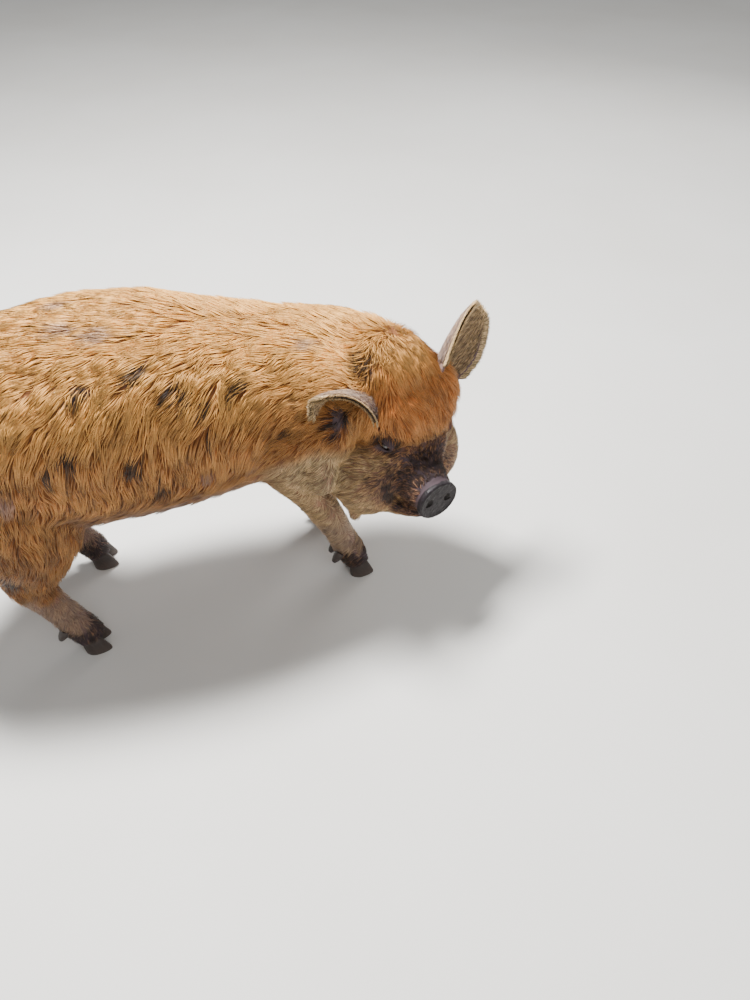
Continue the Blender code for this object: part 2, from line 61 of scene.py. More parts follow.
def metres(*rows):
    """Rows of millimetres, in metres."""
    return tuple(tuple(value / 1000 for value in row) for row in rows)


# The body in its own frame: snout's disc centre, turn, nod and roll of the head
DISC = Vector((0.317, -0.174, 0.250))
HEADING = math.radians(-71.0)
NOD = math.radians(-1.0)
ROLL = math.radians(-8.0)
DISC_WIDE = 35.0 * MM
DISC_HIGH = 31.0 * MM
DISC_THICK = 10.0 * MM
# Rings of the disc's face: inset and sink, as shares of its size
DISC_STEPS = ((0.10, 0.0), (0.10, 0.10), (0.15, 0.05), (0.30, 0.0), (0.20, -0.04))
# One nostril's bowl and the slit at its side, in the head frame: centre and radii
NOSTRILS = (
    ((0.001, 16.0 * MM, 1.0 * MM), (6.0 * MM, 6.2 * MM, 7.6 * MM)),
    ((0.001, 20.5 * MM, -3.0 * MM), (4.5 * MM, 4.8 * MM, 3.0 * MM)),
)

# Trunk and neck, tail end first: x, y, z of the centre line, half width, rise, drop
TRUNK = metres(
    (-432, 0, 408, 30, 34, 35), (-415, 0, 405, 78, 78, 86), (-370, 0, 398, 114, 115, 124),
    (-290, 0, 388, 135, 141, 136), (-200, 0, 382, 146, 158, 140), (-110, 0, 380, 151, 167, 142),
    (-20, 0, 378, 148, 159, 137), (60, 0, 376, 138, 135, 124), (130, 0, 370, 127, 120, 120),
    (190, -4, 362, 120, 117, 118), (240, -18, 356, 110, 113, 114), (278, -45, 350, 92, 100, 106),
    (296, -78, 340, 62, 68, 72),
)
# Skull forms in the head frame: centre x, y, z and radii x, y, z; one off the middle stands for both sides
SKULL = metres(
    (-120, 0, 80, 72, 90, 84), (-122, 36, 116, 54, 60, 52), (-112, 54, 6, 60, 60, 64),
    (-112, 46, -22, 52, 52, 52), (-90, 26, 50, 46, 38, 46),
)
# Folds of the bent neck beside the cheek
FOLDS = metres(
    (160, -90, 292, 26, 34, 56), (180, -104, 372, 20, 26, 48),
)
# Snout and lower jaw in the head frame: x, y, z, half width, rise, drop
SNOUT = metres(
    (12, 0, 0, 35, 31, 29), (-14, 0, 1, 34.5, 32.5, 29), (-34, 0, 5, 38.5, 38, 31), (-60, 0, 12, 47, 48, 39),
    (-95, 0, 22, 57, 60, 50),
)
JAW = metres(
    (-20, 0, -34, 16, 10, 10), (-38, 0, -38, 25, 12, 16), (-70, 0, -44, 38, 18, 26), (-115, 0, -50, 52, 26, 32),
)
# Legs, root first: x, y, z, half width across, reach forward, reach back
LEGS = {
    "hind_right": metres(
        (-298, -82, 335, 60, 94, 92), (-268, -98, 280, 50, 97, 80), (-266, -99, 225, 37, 62, 54),
        (-272, -96, 175, 26, 33, 36), (-260, -92, 122, 22.5, 24, 24), (-244, -88, 72, 22, 23.5, 24.5),
        (-234, -88, 38, 23.5, 23, 23), (-229, -88, 20, 23, 22, 22),
    ),
    "hind_left": metres(
        (-303, 84, 335, 60, 94, 92), (-275, 100, 280, 50, 97, 80), (-268, 100, 225, 37, 60, 56),
        (-272, 96, 175, 26, 31, 36), (-250, 92, 118, 22, 24, 24), (-228, 90, 70, 22, 23.5, 24.5),
        (-214, 90, 38, 23.5, 23, 23), (-208, 90, 20, 23, 22, 22),
    ),
    "fore_right": metres(
        (108, -60, 320, 52, 50, 60), (126, -62, 268, 40, 36, 44), (146, -58, 216, 30, 27, 31),
        (170, -56, 160, 25.5, 25.5, 26.5), (190, -56, 110, 22, 23, 23.5), (204, -56, 68, 22, 23.5, 24.5),
        (216, -58, 38, 23.5, 23, 23), (221, -58, 20, 23, 22, 22),
    ),
    "fore_left": metres(
        (94, 80, 320, 52, 55, 62), (110, 86, 262, 41, 42, 50), (136, 82, 208, 32, 28, 36),
        (160, 78, 158, 26, 27, 28), (172, 76, 110, 22, 23, 23.5), (180, 76, 68, 22, 23.5, 24.5),
        (192, 78, 38, 23.5, 23, 23), (197, 78, 20, 23, 22, 22),
    ),
}
# Claws of a foot: height, middle, half width, reach to the toe, reach to the heel
CLAW = metres(
    (0, 2, 10.4, 23, 17), (4, 2, 11, 23.2, 17.5), (14, 1, 10.8, 20.5, 17), (26, 0, 10, 16.5, 15.5),
    (34, -1, 8.5, 13, 13),
)
CLAW_APART = 12.8 * MM
CLAW_SPREAD = math.radians(6.0)
DEW_UP = 58.0 * MM
DEW_BACK = 19.0 * MM
DEW_APART = 12.0 * MM
DEW_RADII = metres((8, 8.2, 6.8, 4))[0]
DEW_STEP = Vector((-0.0045, 0.0, -0.0070))
TAIL_RADII = metres((16, 15, 13, 11, 9.5, 9, 12.5, 13, 6))[0]
TAIL_ROOT = Vector((-0.412, 0.0, 0.452))
TAIL_STEP = 21.5 * MM
TAIL_SWING = 12.0 * MM
TASSEL_ROOT = Vector((-0.112, 0.068, -0.048))
TASSEL_RADII = metres((8.5, 8.5, 9.5, 11, 9.5, 5))[0]
TASSEL_STEP = 9.8 * MM

EAR_LONG = 119.0 * MM
EAR_WIDE = 49.0 * MM
EAR_THICK = 3.4 * MM
EAR_POINT = 3.2             # power that rounds the tip off
EAR_SUNK = 0.16             # share of the ear's length inside the head
EAR_CURL = (1.60, 0.75)     # half angle of its section at the root and at the tip
EAR_BEND = 18.0 * MM
EAR_TURN_EASE = 1.4         # how soon the root's extra turn dies away
# Of each ear, in the head frame: root, way, the way its cup opens, its root's extra turn,
# and its width at the root with the swell and the waning towards the tip
EARS = {
    "ear_right": (
        Vector((-0.110, -0.070, 0.151)), Vector((0.02, -0.92, 0.24)), Vector((0.92, -0.10, -0.50)),
        math.radians(-82.0), (1.00, 0.55, -0.70),
    ),
    "ear_left": (
        Vector((-0.116, 0.066, 0.148)), Vector((-0.24, 0.57, 0.80)), Vector((0.95, 0.28, 0.10)),
        0.0, (0.72, 1.20, -0.95),
    ),
}

# Photo's camera in the body frame: place, pitch below the horizon, heading, focal length in pixels
CAMERA_AT = Vector((0.0, -0.89, 1.03))
CAMERA_PITCH = math.radians(45.0)
CAMERA_HEADING = math.radians(17.0)
CAMERA_FOCUS = 752.0
PHOTO_WIDE = 750.0
PHOTO_TALL = 1000.0
FILM = 36.0                 # sensor width in mm
# Lights: name, place, aim, size across in metres, power in watts
LIGHTS = (
    ("key", (-0.35, 0.6, 2.7), (0, 0, 0.3), 0.6, 260.0),
    ("fill", (0.7, -2.4, 1.9), (0.1, -0.1, 0.3), 2.2, 32.0),
    ("rim", (2.2, 1.6, 1.6), (0, 0, 0.35), 1.5, 22.0),
)
SKY = "#EEF0F2"
SKY_BRIGHT = 0.38
FLOOR_WIDE = 9.0            # radius
FLOOR_LOW = 0.4 * MM        # under the soles, which would flicker with it otherwise

# Dark spots by their place in the photo: pixel across, pixel down, radius in mm, length over width, strength
SPOTS = (
    (67, 460, 13, 1.3, 1.00), (132, 467, 12, 1.7, 1.00), (13, 583, 17, 1.2, 1.00),
    (134, 373, 11, 1.9, 0.85), (75, 397, 11, 1.8, 0.85), (169, 393, 12, 1.3, 0.80),
    (183, 398, 11, 1.5, 0.70), (239, 382, 12, 2.0, 0.85), (202, 409, 9, 1.7, 0.65),
    (209, 441, 9, 1.3, 0.70), (287, 432, 9, 1.7, 0.60), (41, 478, 10, 1.3, 0.70),
    # The spot at 338, 420 under the near ear is partly black hair and partly painted shade in the ear's hollow
    (163, 489, 11, 1.5, 0.85), (338, 420, 15, 1.1, 1.00), (334, 436, 11, 1.2, 0.60),
    (388, 497, 9, 1.3, 1.00), (398, 507, 8, 1.5, 0.80),
)
# Faint grey-lilac spots on the sunlit back
FAINT = (
    (60, 307, 13, 1.6, 0.6), (61, 333, 12, 1.5, 0.6), (99, 338, 14, 1.7, 0.7), (308, 346, 12, 1.5, 0.6),
    (206, 478, 12, 1.2, 0.6), (255, 464, 10, 1.2, 0.5), (5, 505, 14, 1.3, 0.6), (232, 300, 12, 1.6, 0.4),
)
FAR_SPOTS = 18              # seeded spots on the side that the photo doesn't show
BODY_FAR = 1.3              # from the camera to the body
TABLE_LONG = 4096           # length of the noise's table
SHARP = math.radians(50)    # edges past this angle are rounded off
HOOF_HIGH = 36.0 * MM       # hair begins above the hooves' horn
LEG_TOP = 0.27              # height where the legs' coat ends

# A tuft: how far along it each of its corners lies, its faces, and its patch of the bake map
TUFT_ALONG = (0, 0, 0, 0.5, 0.5, 0.5, 1.0)
TUFT_FACES = (
    (0, 2, 1), (0, 1, 4), (0, 4, 3), (1, 2, 5), (1, 5, 4), (2, 0, 3), (2, 3, 5), (3, 4, 6), (4, 5, 6), (5, 3, 6),
)
TUFT_PATCH = ((0, 0), (0, 1), (0, 2), (1, 0), (1, 1), (1, 2), (2, 1))
PATCH_CELL = 0.0015
PIECE_MOST = 190000         # most triangles in one piece of the coat
ROOT_SUNK = 1.2 * MM
LEADING = 0.05              # share of the tufts that lead a lock
CLUMP = 0.62                # how far a lock's tips gather round its leader's
HAIR = {"leg": 15 * MM, "foot": 9 * MM, "cheek": 19 * MM, "brow": 36 * MM, "muzzle": 8 * MM}
EAR_TUFTS = 12000           # on each ear
EAR_REACH = 85.0 * MM       # from the ear's middle


def linear(hexed):
    """sRGB hex colour as linear RGBA."""
    parts = [int(hexed[k:k + 2], 16) / 255 for k in (1, 3, 5)]
    return (*(c / 12.92 if c <= 0.04045 else ((c + 0.055) / 1.055) ** 2.4 for c in parts), 1.0)


def unit(vector):
    return vector / vector.length


def units(rows):
    return rows / np.maximum(np.linalg.norm(rows, axis=1, keepdims=True), 1e-9)


def smooth_step(low, high, values):
    share = np.clip((values - low) / (high - low), 0.0, 1.0)
    return share * share * (3 - 2 * share)


NOISE_TABLE = np.random.default_rng(SEED).random(TABLE_LONG)


def noise(points, cell):
    """Smooth noise from 0 to 1 over cells of one size."""
    scaled = points / cell
    low = np.floor(scaled).astype(np.int64)
    part = scaled - low
    part = part * part * (3 - 2 * part)
    total = np.zeros(len(points))
    for dx in (0, 1):
        for dy in (0, 1):
            for dz in (0, 1):
                x, y, z = (low + (dx, dy, dz)).T
                key = (x * 73856093 ^ y * 19349663 ^ z * 83492791) % TABLE_LONG
                share = np.abs(1 - dx - part[:, 0]) * np.abs(1 - dy - part[:, 1]) * np.abs(1 - dz - part[:, 2])
                total += NOISE_TABLE[key] * share
    return total


def head_matrix():
    turn = Matrix.Rotation(HEADING, 4, "Z") @ Matrix.Rotation(NOD, 4, "Y")
    return Matrix.Translation(DISC) @ turn @ Matrix.Rotation(ROLL, 4, "X")


def packed_shift():
    """The solids' offset from the body frame, read from the disc's box."""
    low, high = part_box("snout_disc")
    marks = []
    for x in (0.0, -DISC_THICK):
        for turn in np.linspace(0, 2 * math.pi, 28, endpoint=False):
            rim = Vector((x, DISC_WIDE * math.cos(turn), DISC_HIGH * math.sin(turn)))
            marks.append((head_matrix() @ rim)[:])
    marks = np.array(marks)
    middle = Vector((marks.min(0) + marks.max(0)) / 2)
    shift = (low + high) / 2 - middle
    shift.z = 0.0
    return shift


HEAD = head_matrix()
HEAD_BACK = np.array(HEAD.inverted())
HEAD_TURN = np.array(HEAD.to_3x3())     # turns ways of the head frame into the body's
SHIFT = packed_shift()


def headed(points):
    """Points in the head frame, and 1 on the head, 0 on the trunk, with a soft step between."""
    local = points @ HEAD_BACK[:3, :3].T + HEAD_BACK[:3, 3]
    near = smooth_step(0.28, 0.23, np.linalg.norm(points - DISC, axis=1))
    return local, smooth_step(-0.215, -0.160, local[:, 0]) * near


def muzzle_hair(local, share):
    """1 where the muzzle's short hair grows."""
    return smooth_step(-0.085, -0.045, local[:, 0]) * smooth_step(0.095, 0.070, local[:, 2]) * share


def eased(stations, steps):
    """More stations on a smooth curve through the given ones."""
    rows = np.array(stations, float)
    rows = np.vstack([2 * rows[0] - rows[1], rows, 2 * rows[-1] - rows[-2]])
    out = []
    for i in range(1, len(rows) - 2):
        a, b, c, d = rows[i - 1:i + 3]
        for t in np.linspace(0, 1, steps, endpoint=False):
            out.append(0.5 * (2 * b + (c - a) * t + (2 * a - 5 * b + 4 * c - d) * t ** 2
                              + (3 * b - a - 3 * c + d) * t ** 3))
    out.append(rows[-2])
    return np.array(out)


def close_rings(bm, rings):
    """Join each ring of points to the next and close both ends."""
    for one, two in zip(rings, rings[1:]):
        for k in range(len(one)):
            after = (k + 1) % len(one)
            bm.faces.new((one[k], one[after], two[after], two[k]))
    bm.faces.new(rings[0])
    bm.faces.new(rings[-1])


def loft(bm, stations, upright=False, sides=32, steps=5, place=None):
    """A closed tube along a centre line; upright lines have their sections across Y."""
    rows = eased(stations, steps)
    centres = rows[:, :3]
    ways = units(np.gradient(centres, axis=0))
    rings = []
    for centre, way, (wide, rise, drop) in zip(centres, ways, rows[:, 3:]):
        across = np.array((0.0, 1.0, 0.0)) if upright else np.cross((0.0, 0.0, 1.0), way)
        across = across - way * np.dot(across, way)
        across /= np.linalg.norm(across)
        up = np.cross(way, across)
        ring = []
        for turn in np.linspace(0, 2 * math.pi, sides, endpoint=False):
            tall = rise if math.sin(turn) > 0 else drop
            at = Vector(centre + across * wide * math.cos(turn) + up * tall * math.sin(turn))
            ring.append(bm.verts.new(place @ at if place else at))
        rings.append(ring)
    close_rings(bm, rings)


def tube(bm, root, steps, radii, sides=16):
    """A round tube from a root point along equal steps."""
    at = Vector(root)
    stations = []
    for radius, step in zip(radii, steps):
        stations.append((*at, radius, radius, radius))
        at = at + step
    loft(bm, stations, upright=True, sides=sides, steps=4)


def ball(bm, centre, radii, place, cuts=40):
    size = Matrix.Diagonal((*radii, 1.0))
    bmesh.ops.create_uvsphere(bm, u_segments=cuts, v_segments=cuts // 2, radius=1.0,
                              matrix=place @ Matrix.Translation(centre) @ size)


def linked(name, data):
    """A new object of the scene."""
    thing = bpy.data.objects.new(name, data)
    bpy.context.scene.collection.objects.link(thing)
    return thing


def made(name, bm):
    """A new object from a bmesh, facing out."""
    bmesh.ops.recalc_face_normals(bm, faces=bm.faces)
    mesh = bpy.data.meshes.new(name)
    bm.to_mesh(mesh)
    bm.free()
    return linked(name, mesh)


def primitive(name, add, **settings):
    """A new primitive, alone selected, under its own name."""
    bpy.ops.object.select_all(action="DESELECT")
    add(**settings)
    thing = bpy.context.active_object
    thing.name = thing.data.name = name
    return thing


def modify(thing, kind, **settings):
    """Add one modifier with its settings."""
    step = thing.modifiers.new(kind, kind)
    for name, value in settings.items():
        setattr(step, name, value)


def finish_modifiers(thing):
    """Apply every modifier, in order, with this object alone selected."""
    bpy.ops.object.select_all(action="DESELECT")
    thing.select_set(True)
    bpy.context.view_layer.objects.active = thing
    for step in list(thing.modifiers):
        bpy.ops.object.modifier_apply(modifier=step.name)


def boolean(thing, cutter, operation="DIFFERENCE"):
    """Apply one Boolean and drop the cutter; one that changes nothing is an error."""
    modify(thing, "BOOLEAN", operation=operation, solver="MANIFOLD", object=cutter)
    before = len(thing.data.polygons)
    finish_modifiers(thing)
    if len(thing.data.polygons) == before:
        raise RuntimeError(f"{operation} with {cutter.name} changed nothing on {thing.name}")
    bpy.data.objects.remove(cutter)


def read(rows, name, wide, kind=np.float32):
    values = np.empty(len(rows) * wide, kind)
    rows.foreach_get(name, values)
    return values.reshape(-1, wide) if wide > 1 else values


def points_of(thing):
    """An object's points and their normals."""
    return tuple(read(thing.data.vertices, name, 3).astype(float) for name in ("co", "normal"))


def write_points(thing, points):
    thing.data.vertices.foreach_set("co", points.astype(np.float32).ravel())
    thing.data.update()


def dress(thing, finish):
    """Give a piece its finish and smooth shading, and move it onto the solids."""
    thing.data.materials.clear()
    thing.data.materials.append(finish_of(finish))
    thing.data.shade_smooth()
    thing.data.transform(Matrix.Translation(SHIFT))
    thing.data.update()


# Coat

class Surface:
    """A closed mesh's triangles, ready to be sown with tufts."""

    def __init__(self, thing):
        mesh = thing.data
        mesh.calc_loop_triangles()
        self.spots, self.normals = points_of(thing)
        self.corners = read(mesh.loop_triangles, "vertices", 3, np.int32)
        self.areas = read(mesh.loop_triangles, "area", 1).astype(float)
        self.middles = self.spots[self.corners].mean(1)
        self.tree = BVHTree.FromPolygons(self.spots.tolist(), self.corners.tolist())

    def sow(self, count, density, dice):
        """Random places by area and density, with their smooth normals."""
        weight = self.areas * density
        chosen = dice.choice(len(weight), count, p=weight / weight.sum())
        a, b = np.sort(dice.random((2, count)), axis=0)
        share = np.stack([a, b - a, 1 - b], axis=1)[:, :, None]
        corners = self.corners[chosen]
        return (self.spots[corners] * share).sum(1), units((self.normals[corners] * share).sum(1))

    def drop(self, points):
        """The nearest places on the surface, with their normals."""
        found = [self.tree.find_nearest(Vector(p)) for p in points]
        places = np.array([f[0][:] for f in found])
        index = np.array([f[2] for f in found])
        return places, units(self.normals[self.corners[index]].mean(1))


def trunk_lie(points, normals):
    """Hair runs back along the back, down the flanks and back again under the belly."""
    side = (1 - np.abs(normals[:, 2])) ** 0.75
    fore = smooth_step(-0.06, 0.12, points[:, 0])
    steep = np.radians(8 + (80 - 34 * fore) * side)
    belly = smooth_step(-0.15, -0.60, normals[:, 2])
    steep = steep * (1 - belly)
    bend = np.radians(-50) * np.clip((points[:, 0] - 0.13) / 0.15, 0, 1)
    ways = np.stack([-np.cos(steep) * np.cos(bend), -np.cos(steep) * np.sin(bend), -np.sin(steep)], 1)
    leg = smooth_step(0.27, 0.20, points[:, 2])[:, None]
    down = np.tile((-0.22, 0.0, -1.0), (len(points), 1))
    return ways * (1 - leg) + down * leg


def head_lie(local):
    """Forelock down the brow and out to the sides, muzzle hair up from the nose, cheeks swept back."""
    x, y, z = local.T
    still = np.zeros(len(local))
    brow = smooth_step(0.074, 0.092, z) * smooth_step(0.100, 0.070, np.abs(y)) * smooth_step(-0.215, -0.165, x)
    cheek = smooth_step(0.028, 0.048, np.abs(y)) * (1 - brow)
    muzzle = np.clip(1 - brow - cheek, 0, 1)
    ways = np.stack([0.45 + still, 7.0 * y * smooth_step(0.02, 0.06, np.abs(y)), still - 1.0], 1) * brow[:, None]
    ways = ways + np.stack([still - 1.0, 2.5 * y, still - 0.40], 1) * cheek[:, None]
    return ways + np.stack([still - 1.0, 6.0 * y, still + 0.35], 1) * muzzle[:, None]


def body_lie(points, normals):
    """The hair's way at each place; trunk and head meet by way of the sides."""
    local, share = headed(points)
    share = share[:, None]
    ways = trunk_lie(points, normals) * (1 - share) + head_lie(local) @ HEAD_TURN.T * share
    aside = np.stack([local[:, 1] * 0, np.clip(local[:, 1] / 0.015, -1, 1), local[:, 1] * 0 - 0.2], 1)
    ways = ways + aside @ HEAD_TURN.T * (3.2 * share * (1 - share))
    return units(ways - normals * (ways * normals).sum(1, keepdims=True))


def turned(ways, normals, angles):
    """Tangent ways turned about their normals."""
    across = np.cross(normals, ways)
    return ways * np.cos(angles)[:, None] + across * np.sin(angles)[:, None]


def tufts(surface, roots, normals, long, lift, dice):
    """Lay each tuft along the skin: its middle with the way up there, its tip, and its place in its lock."""
    count = len(roots)
    swirl = (noise(roots, 0.055) - 0.5) * math.radians(38) + (noise(roots + 3.1, 0.016) - 0.5) * math.radians(36)
    angles = swirl + dice.normal(0, math.radians(6.5), count)
    ways = turned(body_lie(roots, normals), normals, angles)
    middle, middle_up = surface.drop(roots + ways * long[:, None] * 0.5)
    ways_two = turned(body_lie(middle, middle_up), middle_up, angles * 1.25)
    end, end_up = surface.drop(middle + ways_two * long[:, None] * 0.5)
    middle = middle + middle_up * (lift * 0.55)[:, None]
    end = end + end_up * lift[:, None]
    leaders = np.flatnonzero(dice.random(count) < LEADING)
    lock = dice.random(count)
    if len(leaders) > 4:
        tree = KDTree(len(leaders))
        for k, leader in enumerate(leaders):
            tree.insert(Vector(roots[leader]), k)
        tree.balance()
        near = leaders[[tree.find(Vector(p))[1] for p in roots]]
        lock = lock[near] * 0.45 + lock * 0.55
        end = end + end_up * (lift * (lock - 0.4) * 0.8)[:, None]
        pull = (CLUMP * dice.uniform(0.5, 1.0, count))[:, None]
        middle = middle * (1 - pull * 0.35) + (middle[near] + (roots - roots[near]) * 0.5) * pull * 0.35
        end = end * (1 - pull) + end[near] * pull
    return middle, middle_up, end, lock


def tuft_mesh(name, roots, normals, middle, middle_up, end, lock, wide, unwrap, marks):
    """One mesh of three-sided tufts with their marks and the bake map."""
    count = len(roots)
    corners = len(TUFT_ALONG)
    root = roots - normals * ROOT_SUNK
    ways = units(middle - root)
    ways_two = units(end - middle)
    across = units(np.cross(normals, ways)) * wide[:, None] * 0.5
    across_two = units(np.cross(middle_up, ways_two)) * wide[:, None] * 0.42
    thick = normals * (wide * 0.30)[:, None]
    thick_two = middle_up * (wide * 0.30)[:, None]
    points = np.stack([
        root + across * 0.8, root + thick, root - across * 0.8,
        middle + across_two, middle + thick_two, middle - across_two, end,
    ], axis=1)
    mesh = bpy.data.meshes.new(name)
    all_faces = (np.array(TUFT_FACES)[None] + corners * np.arange(count)[:, None, None]).reshape(-1, 3)
    mesh.vertices.add(count * corners)
    mesh.vertices.foreach_set("co", points.astype(np.float32).ravel())
    mesh.loops.add(len(all_faces) * 3)
    mesh.loops.foreach_set("vertex_index", all_faces.ravel().astype(np.int32))
    mesh.polygons.add(len(all_faces))
    mesh.polygons.foreach_set("loop_start", np.arange(0, len(all_faces) * 3, 3, dtype=np.int32))
    mesh.update(calc_edges=True)
    patch = np.array(TUFT_PATCH) * PATCH_CELL
    corner_uv = (np.clip(unwrap, 0.0, 0.996)[:, None] + patch[None]).reshape(-1, 2)[all_faces.ravel()]
    layer = mesh.uv_layers.new(name="OFBake")
    layer.data.foreach_set("uv", corner_uv.astype(np.float32).ravel())
    put_colours(mesh, "marks", np.repeat(marks, corners, axis=0))
    strand = np.zeros((count, corners, 4))
    # Channel 0 is each lock's random tone, with painted shade darkening the lower flanks
    low = smooth_step(0.44, 0.26, roots[:, 2]) * smooth_step(0.12, 0.06, roots[:, 0])
    strand[:, :, 0] = (lock * (1 - 0.32 * low))[:, None]
    strand[:, :, 1] = np.array(TUFT_ALONG)
    # Channel 2 is painted sunlight: brightest where the hair faces up along the back, plus random golden tone
    strand[:, :, 2] = gold_of(roots, normals)[:, None]
    strand[:, :, 3] = 1.0
    put_colours(mesh, "strand", strand.reshape(-1, 4))
    piece = linked(name, mesh)
    dress(piece, "coat")
    return piece


def put_colours(mesh, name, rows):
    layer = mesh.attributes.new(name, "FLOAT_COLOR", "POINT")
    layer.data.foreach_set("color", rows.astype(np.float32).ravel())


# Markings

def camera_way(across, down):
    """Way of a photo pixel's ray in the body frame."""
    a = (across - PHOTO_WIDE / 2) / CAMERA_FOCUS
    b = (down - PHOTO_TALL / 2) / CAMERA_FOCUS
    sine, cosine = math.sin(CAMERA_PITCH), math.cos(CAMERA_PITCH)
    way = Vector((a, cosine - b * sine, -sine - b * cosine))
    return unit(Matrix.Rotation(-CAMERA_HEADING, 3, "Z") @ way)


HEAD_SPOTS = (              # head frame: x, y, z, radius, strength
    (-0.054, -0.057, 0.008, 0.014, 1.0), (-0.057, -0.051, -0.008, 0.016, 1.0), (-0.060, -0.042, -0.022, 0.014, 1.0),
    (-0.112, -0.078, 0.187, 0.022, 0.60), (-0.089, -0.133, 0.130, 0.020, 0.85),
)
SPOT_ROWS = []


def place_spots(surface):
    """Find each spot's place on the body; the far side gets seeded ones."""
    dice = np.random.default_rng(SEED + 5)
    for kind, rows in (("black", SPOTS), ("lilac", FAINT)):
        for across, down, radius, stretch, strength in rows:
            way = camera_way(across, down)
            hit = surface.tree.ray_cast(CAMERA_AT, way)[0]
            if hit is None:
                hit = surface.tree.find_nearest(CAMERA_AT + way * BODY_FAR)[0]
            SPOT_ROWS.append((kind, np.array(hit), radius * MM, stretch, strength))
    for k in range(FAR_SPOTS):
        start = Vector((dice.uniform(-0.40, 0.20), 0.60, dice.uniform(0.30, 0.50)))
        hit = surface.tree.ray_cast(start, Vector((0, -1, 0)))[0]
        if hit is not None:
            kind = "black" if k % 3 else "lilac"
            SPOT_ROWS.append((kind, np.array(hit), dice.uniform(8, 14) * MM, dice.uniform(1.2, 1.9),
                              dice.uniform(0.6, 1.0)))


def spot_masks(points, normals):
    """Black and lilac masks of the spots, their edges feathered along the hair."""
    masks = {"black": np.zeros(len(points)), "lilac": np.zeros(len(points))}
    ragged = points + (np.stack([noise(points + k * 1.7, 0.009) for k in range(3)], 1) - 0.5) * 0.010
    for kind, centre, radius, stretch, strength in SPOT_ROWS:
        apart = ragged - centre
        near = np.flatnonzero((apart ** 2).sum(1) < (radius * stretch * 1.6) ** 2)
        if not len(near):
            continue
        ways = body_lie(points[near], normals[near])
        along = (apart[near] * ways).sum(1)
        rest = np.maximum((apart[near] ** 2).sum(1) - along ** 2, 0)
        distance = np.sqrt((along / stretch) ** 2 + rest) / radius
        mask = smooth_step(1.20, 0.45, distance) * strength
        masks[kind][near] = np.maximum(masks[kind][near], mask)
    return masks


def marks_of(points, normals):
    """Columns: black, lilac, cream, rufous."""
    local, share = headed(points)
    masks = spot_masks(points, normals)
    x, y, z = local.T
    rough = noise(points + 7.7, 0.020) - 0.5
    muzzle = smooth_step(-0.074, -0.034, x + rough * 0.014) * smooth_step(0.100, 0.052, z + rough * 0.03) * share
    black = np.maximum(masks["black"], muzzle * (0.55 + 0.35 * smooth_step(0.005, 0.035, z)))
    for name, strength in (("eye_right", 0.80), ("eye_left", 0.3)):
        low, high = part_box(name)
        apart = (points - np.array((low + high) / 2 - SHIFT)) @ HEAD_TURN - (0, 0, 0.006)
        apart[:, 2] -= apart[:, 0] * -0.35
        reach = np.linalg.norm(apart / (1.5, 1.0, 0.8), axis=1) + rough * 0.008
        black = np.maximum(black, smooth_step(0.030, 0.012, reach) * strength)
    for x0, y0, z0, radius, strength in HEAD_SPOTS:
        reach = np.linalg.norm(local - (x0, y0, z0), axis=1) + rough * 0.4 * radius
        black = np.maximum(black, smooth_step(radius * 1.25, radius * 0.5, reach) * strength)
    hoof = smooth_step(0.080, 0.050, points[:, 2] + rough * 0.03)
    black = np.maximum(black, hoof * 0.85)
    belly = smooth_step(-0.35, -0.85, normals[:, 2]) * smooth_step(0.22, 0.26, points[:, 2])
    shank = smooth_step(0.185, 0.12, points[:, 2] + rough * 0.05)
    lilac = np.maximum.reduce([masks["lilac"], belly * 0.75 * (1 - share), shank * 0.45, muzzle * 0.40])
    cheek = share * smooth_step(0.080, 0.045, z) * (1 - muzzle)
    fold = smooth_step(0.075, 0.035, np.linalg.norm(points - np.array((0.150, -0.125, 0.285)), axis=1))
    cream = np.maximum.reduce([shank * 0.5, cheek * 0.80, fold * 1.0, belly * 0.3])
    rufous = share * smooth_step(0.066, 0.120, z + rough * 0.03) * smooth_step(0.200, 0.150, z)
    rufous = rufous * smooth_step(0.095, 0.060, np.abs(y))
    return np.stack([black, lilac, cream * (1 - black), rufous], axis=1)


def coat_marks(points, normals, dice):
    """The marks, but each tuft of a dark place is either dark or not, so that its edge is mingled."""
    marks = marks_of(points, normals)
    marks[:, 0] = (dice.random(len(points)) < marks[:, 0] * 1.05) * dice.uniform(0.75, 1.0, len(points))
    return marks


def gold_of(points, normals):
    """Painted sunlight: how bright and golden the hair is, most where it faces up along the back, with some random
    golden tone.
    """
    up = smooth_step(0.1, 0.95, normals[:, 2]) * smooth_step(0.36, 0.47, points[:, 2])
    return np.clip(up + (noise(points + 11.0, 0.045) - 0.5) * (0.15 + 0.35 * up), 0, 1)


# Materials. The real pores and pebbles are finer; they are drawn this coarse so that they show.

PORE, PEBBLE, GRAIN_HIGH = 0.0028, 0.0022, 0.0006
HORN_RING = 0.010           # from one growth ring to the next


def plug(tree, node, inputs):
    """Give a node's inputs their values, or another node's outputs."""
    for name, value in dict(inputs).items():
        if isinstance(value, bpy.types.NodeSocket):
            tree.links.new(value, node.inputs[name])
        else:
            node.inputs[name].default_value = value


def add_node(tree, kind, inputs=(), **settings):
    """Add one node with its settings and links; gives back its outputs."""
    node = tree.nodes.new(kind)
    for name, value in settings.items():
        setattr(node, name, value)
    plug(tree, node, inputs)
    return node.outputs


def layered(tree, base, layers):
    """Lay colours one over another, each by a share of the surface and a strength."""
    for share, strength, colour in layers:
        if strength < 1:
            share = add_node(tree, "ShaderNodeMath", {0: share, 1: strength}, operation="MULTIPLY")[0]
        base = add_node(tree, "ShaderNodeMix", {0: share, 6: base, 7: colour}, data_type="RGBA")[2]
    return base


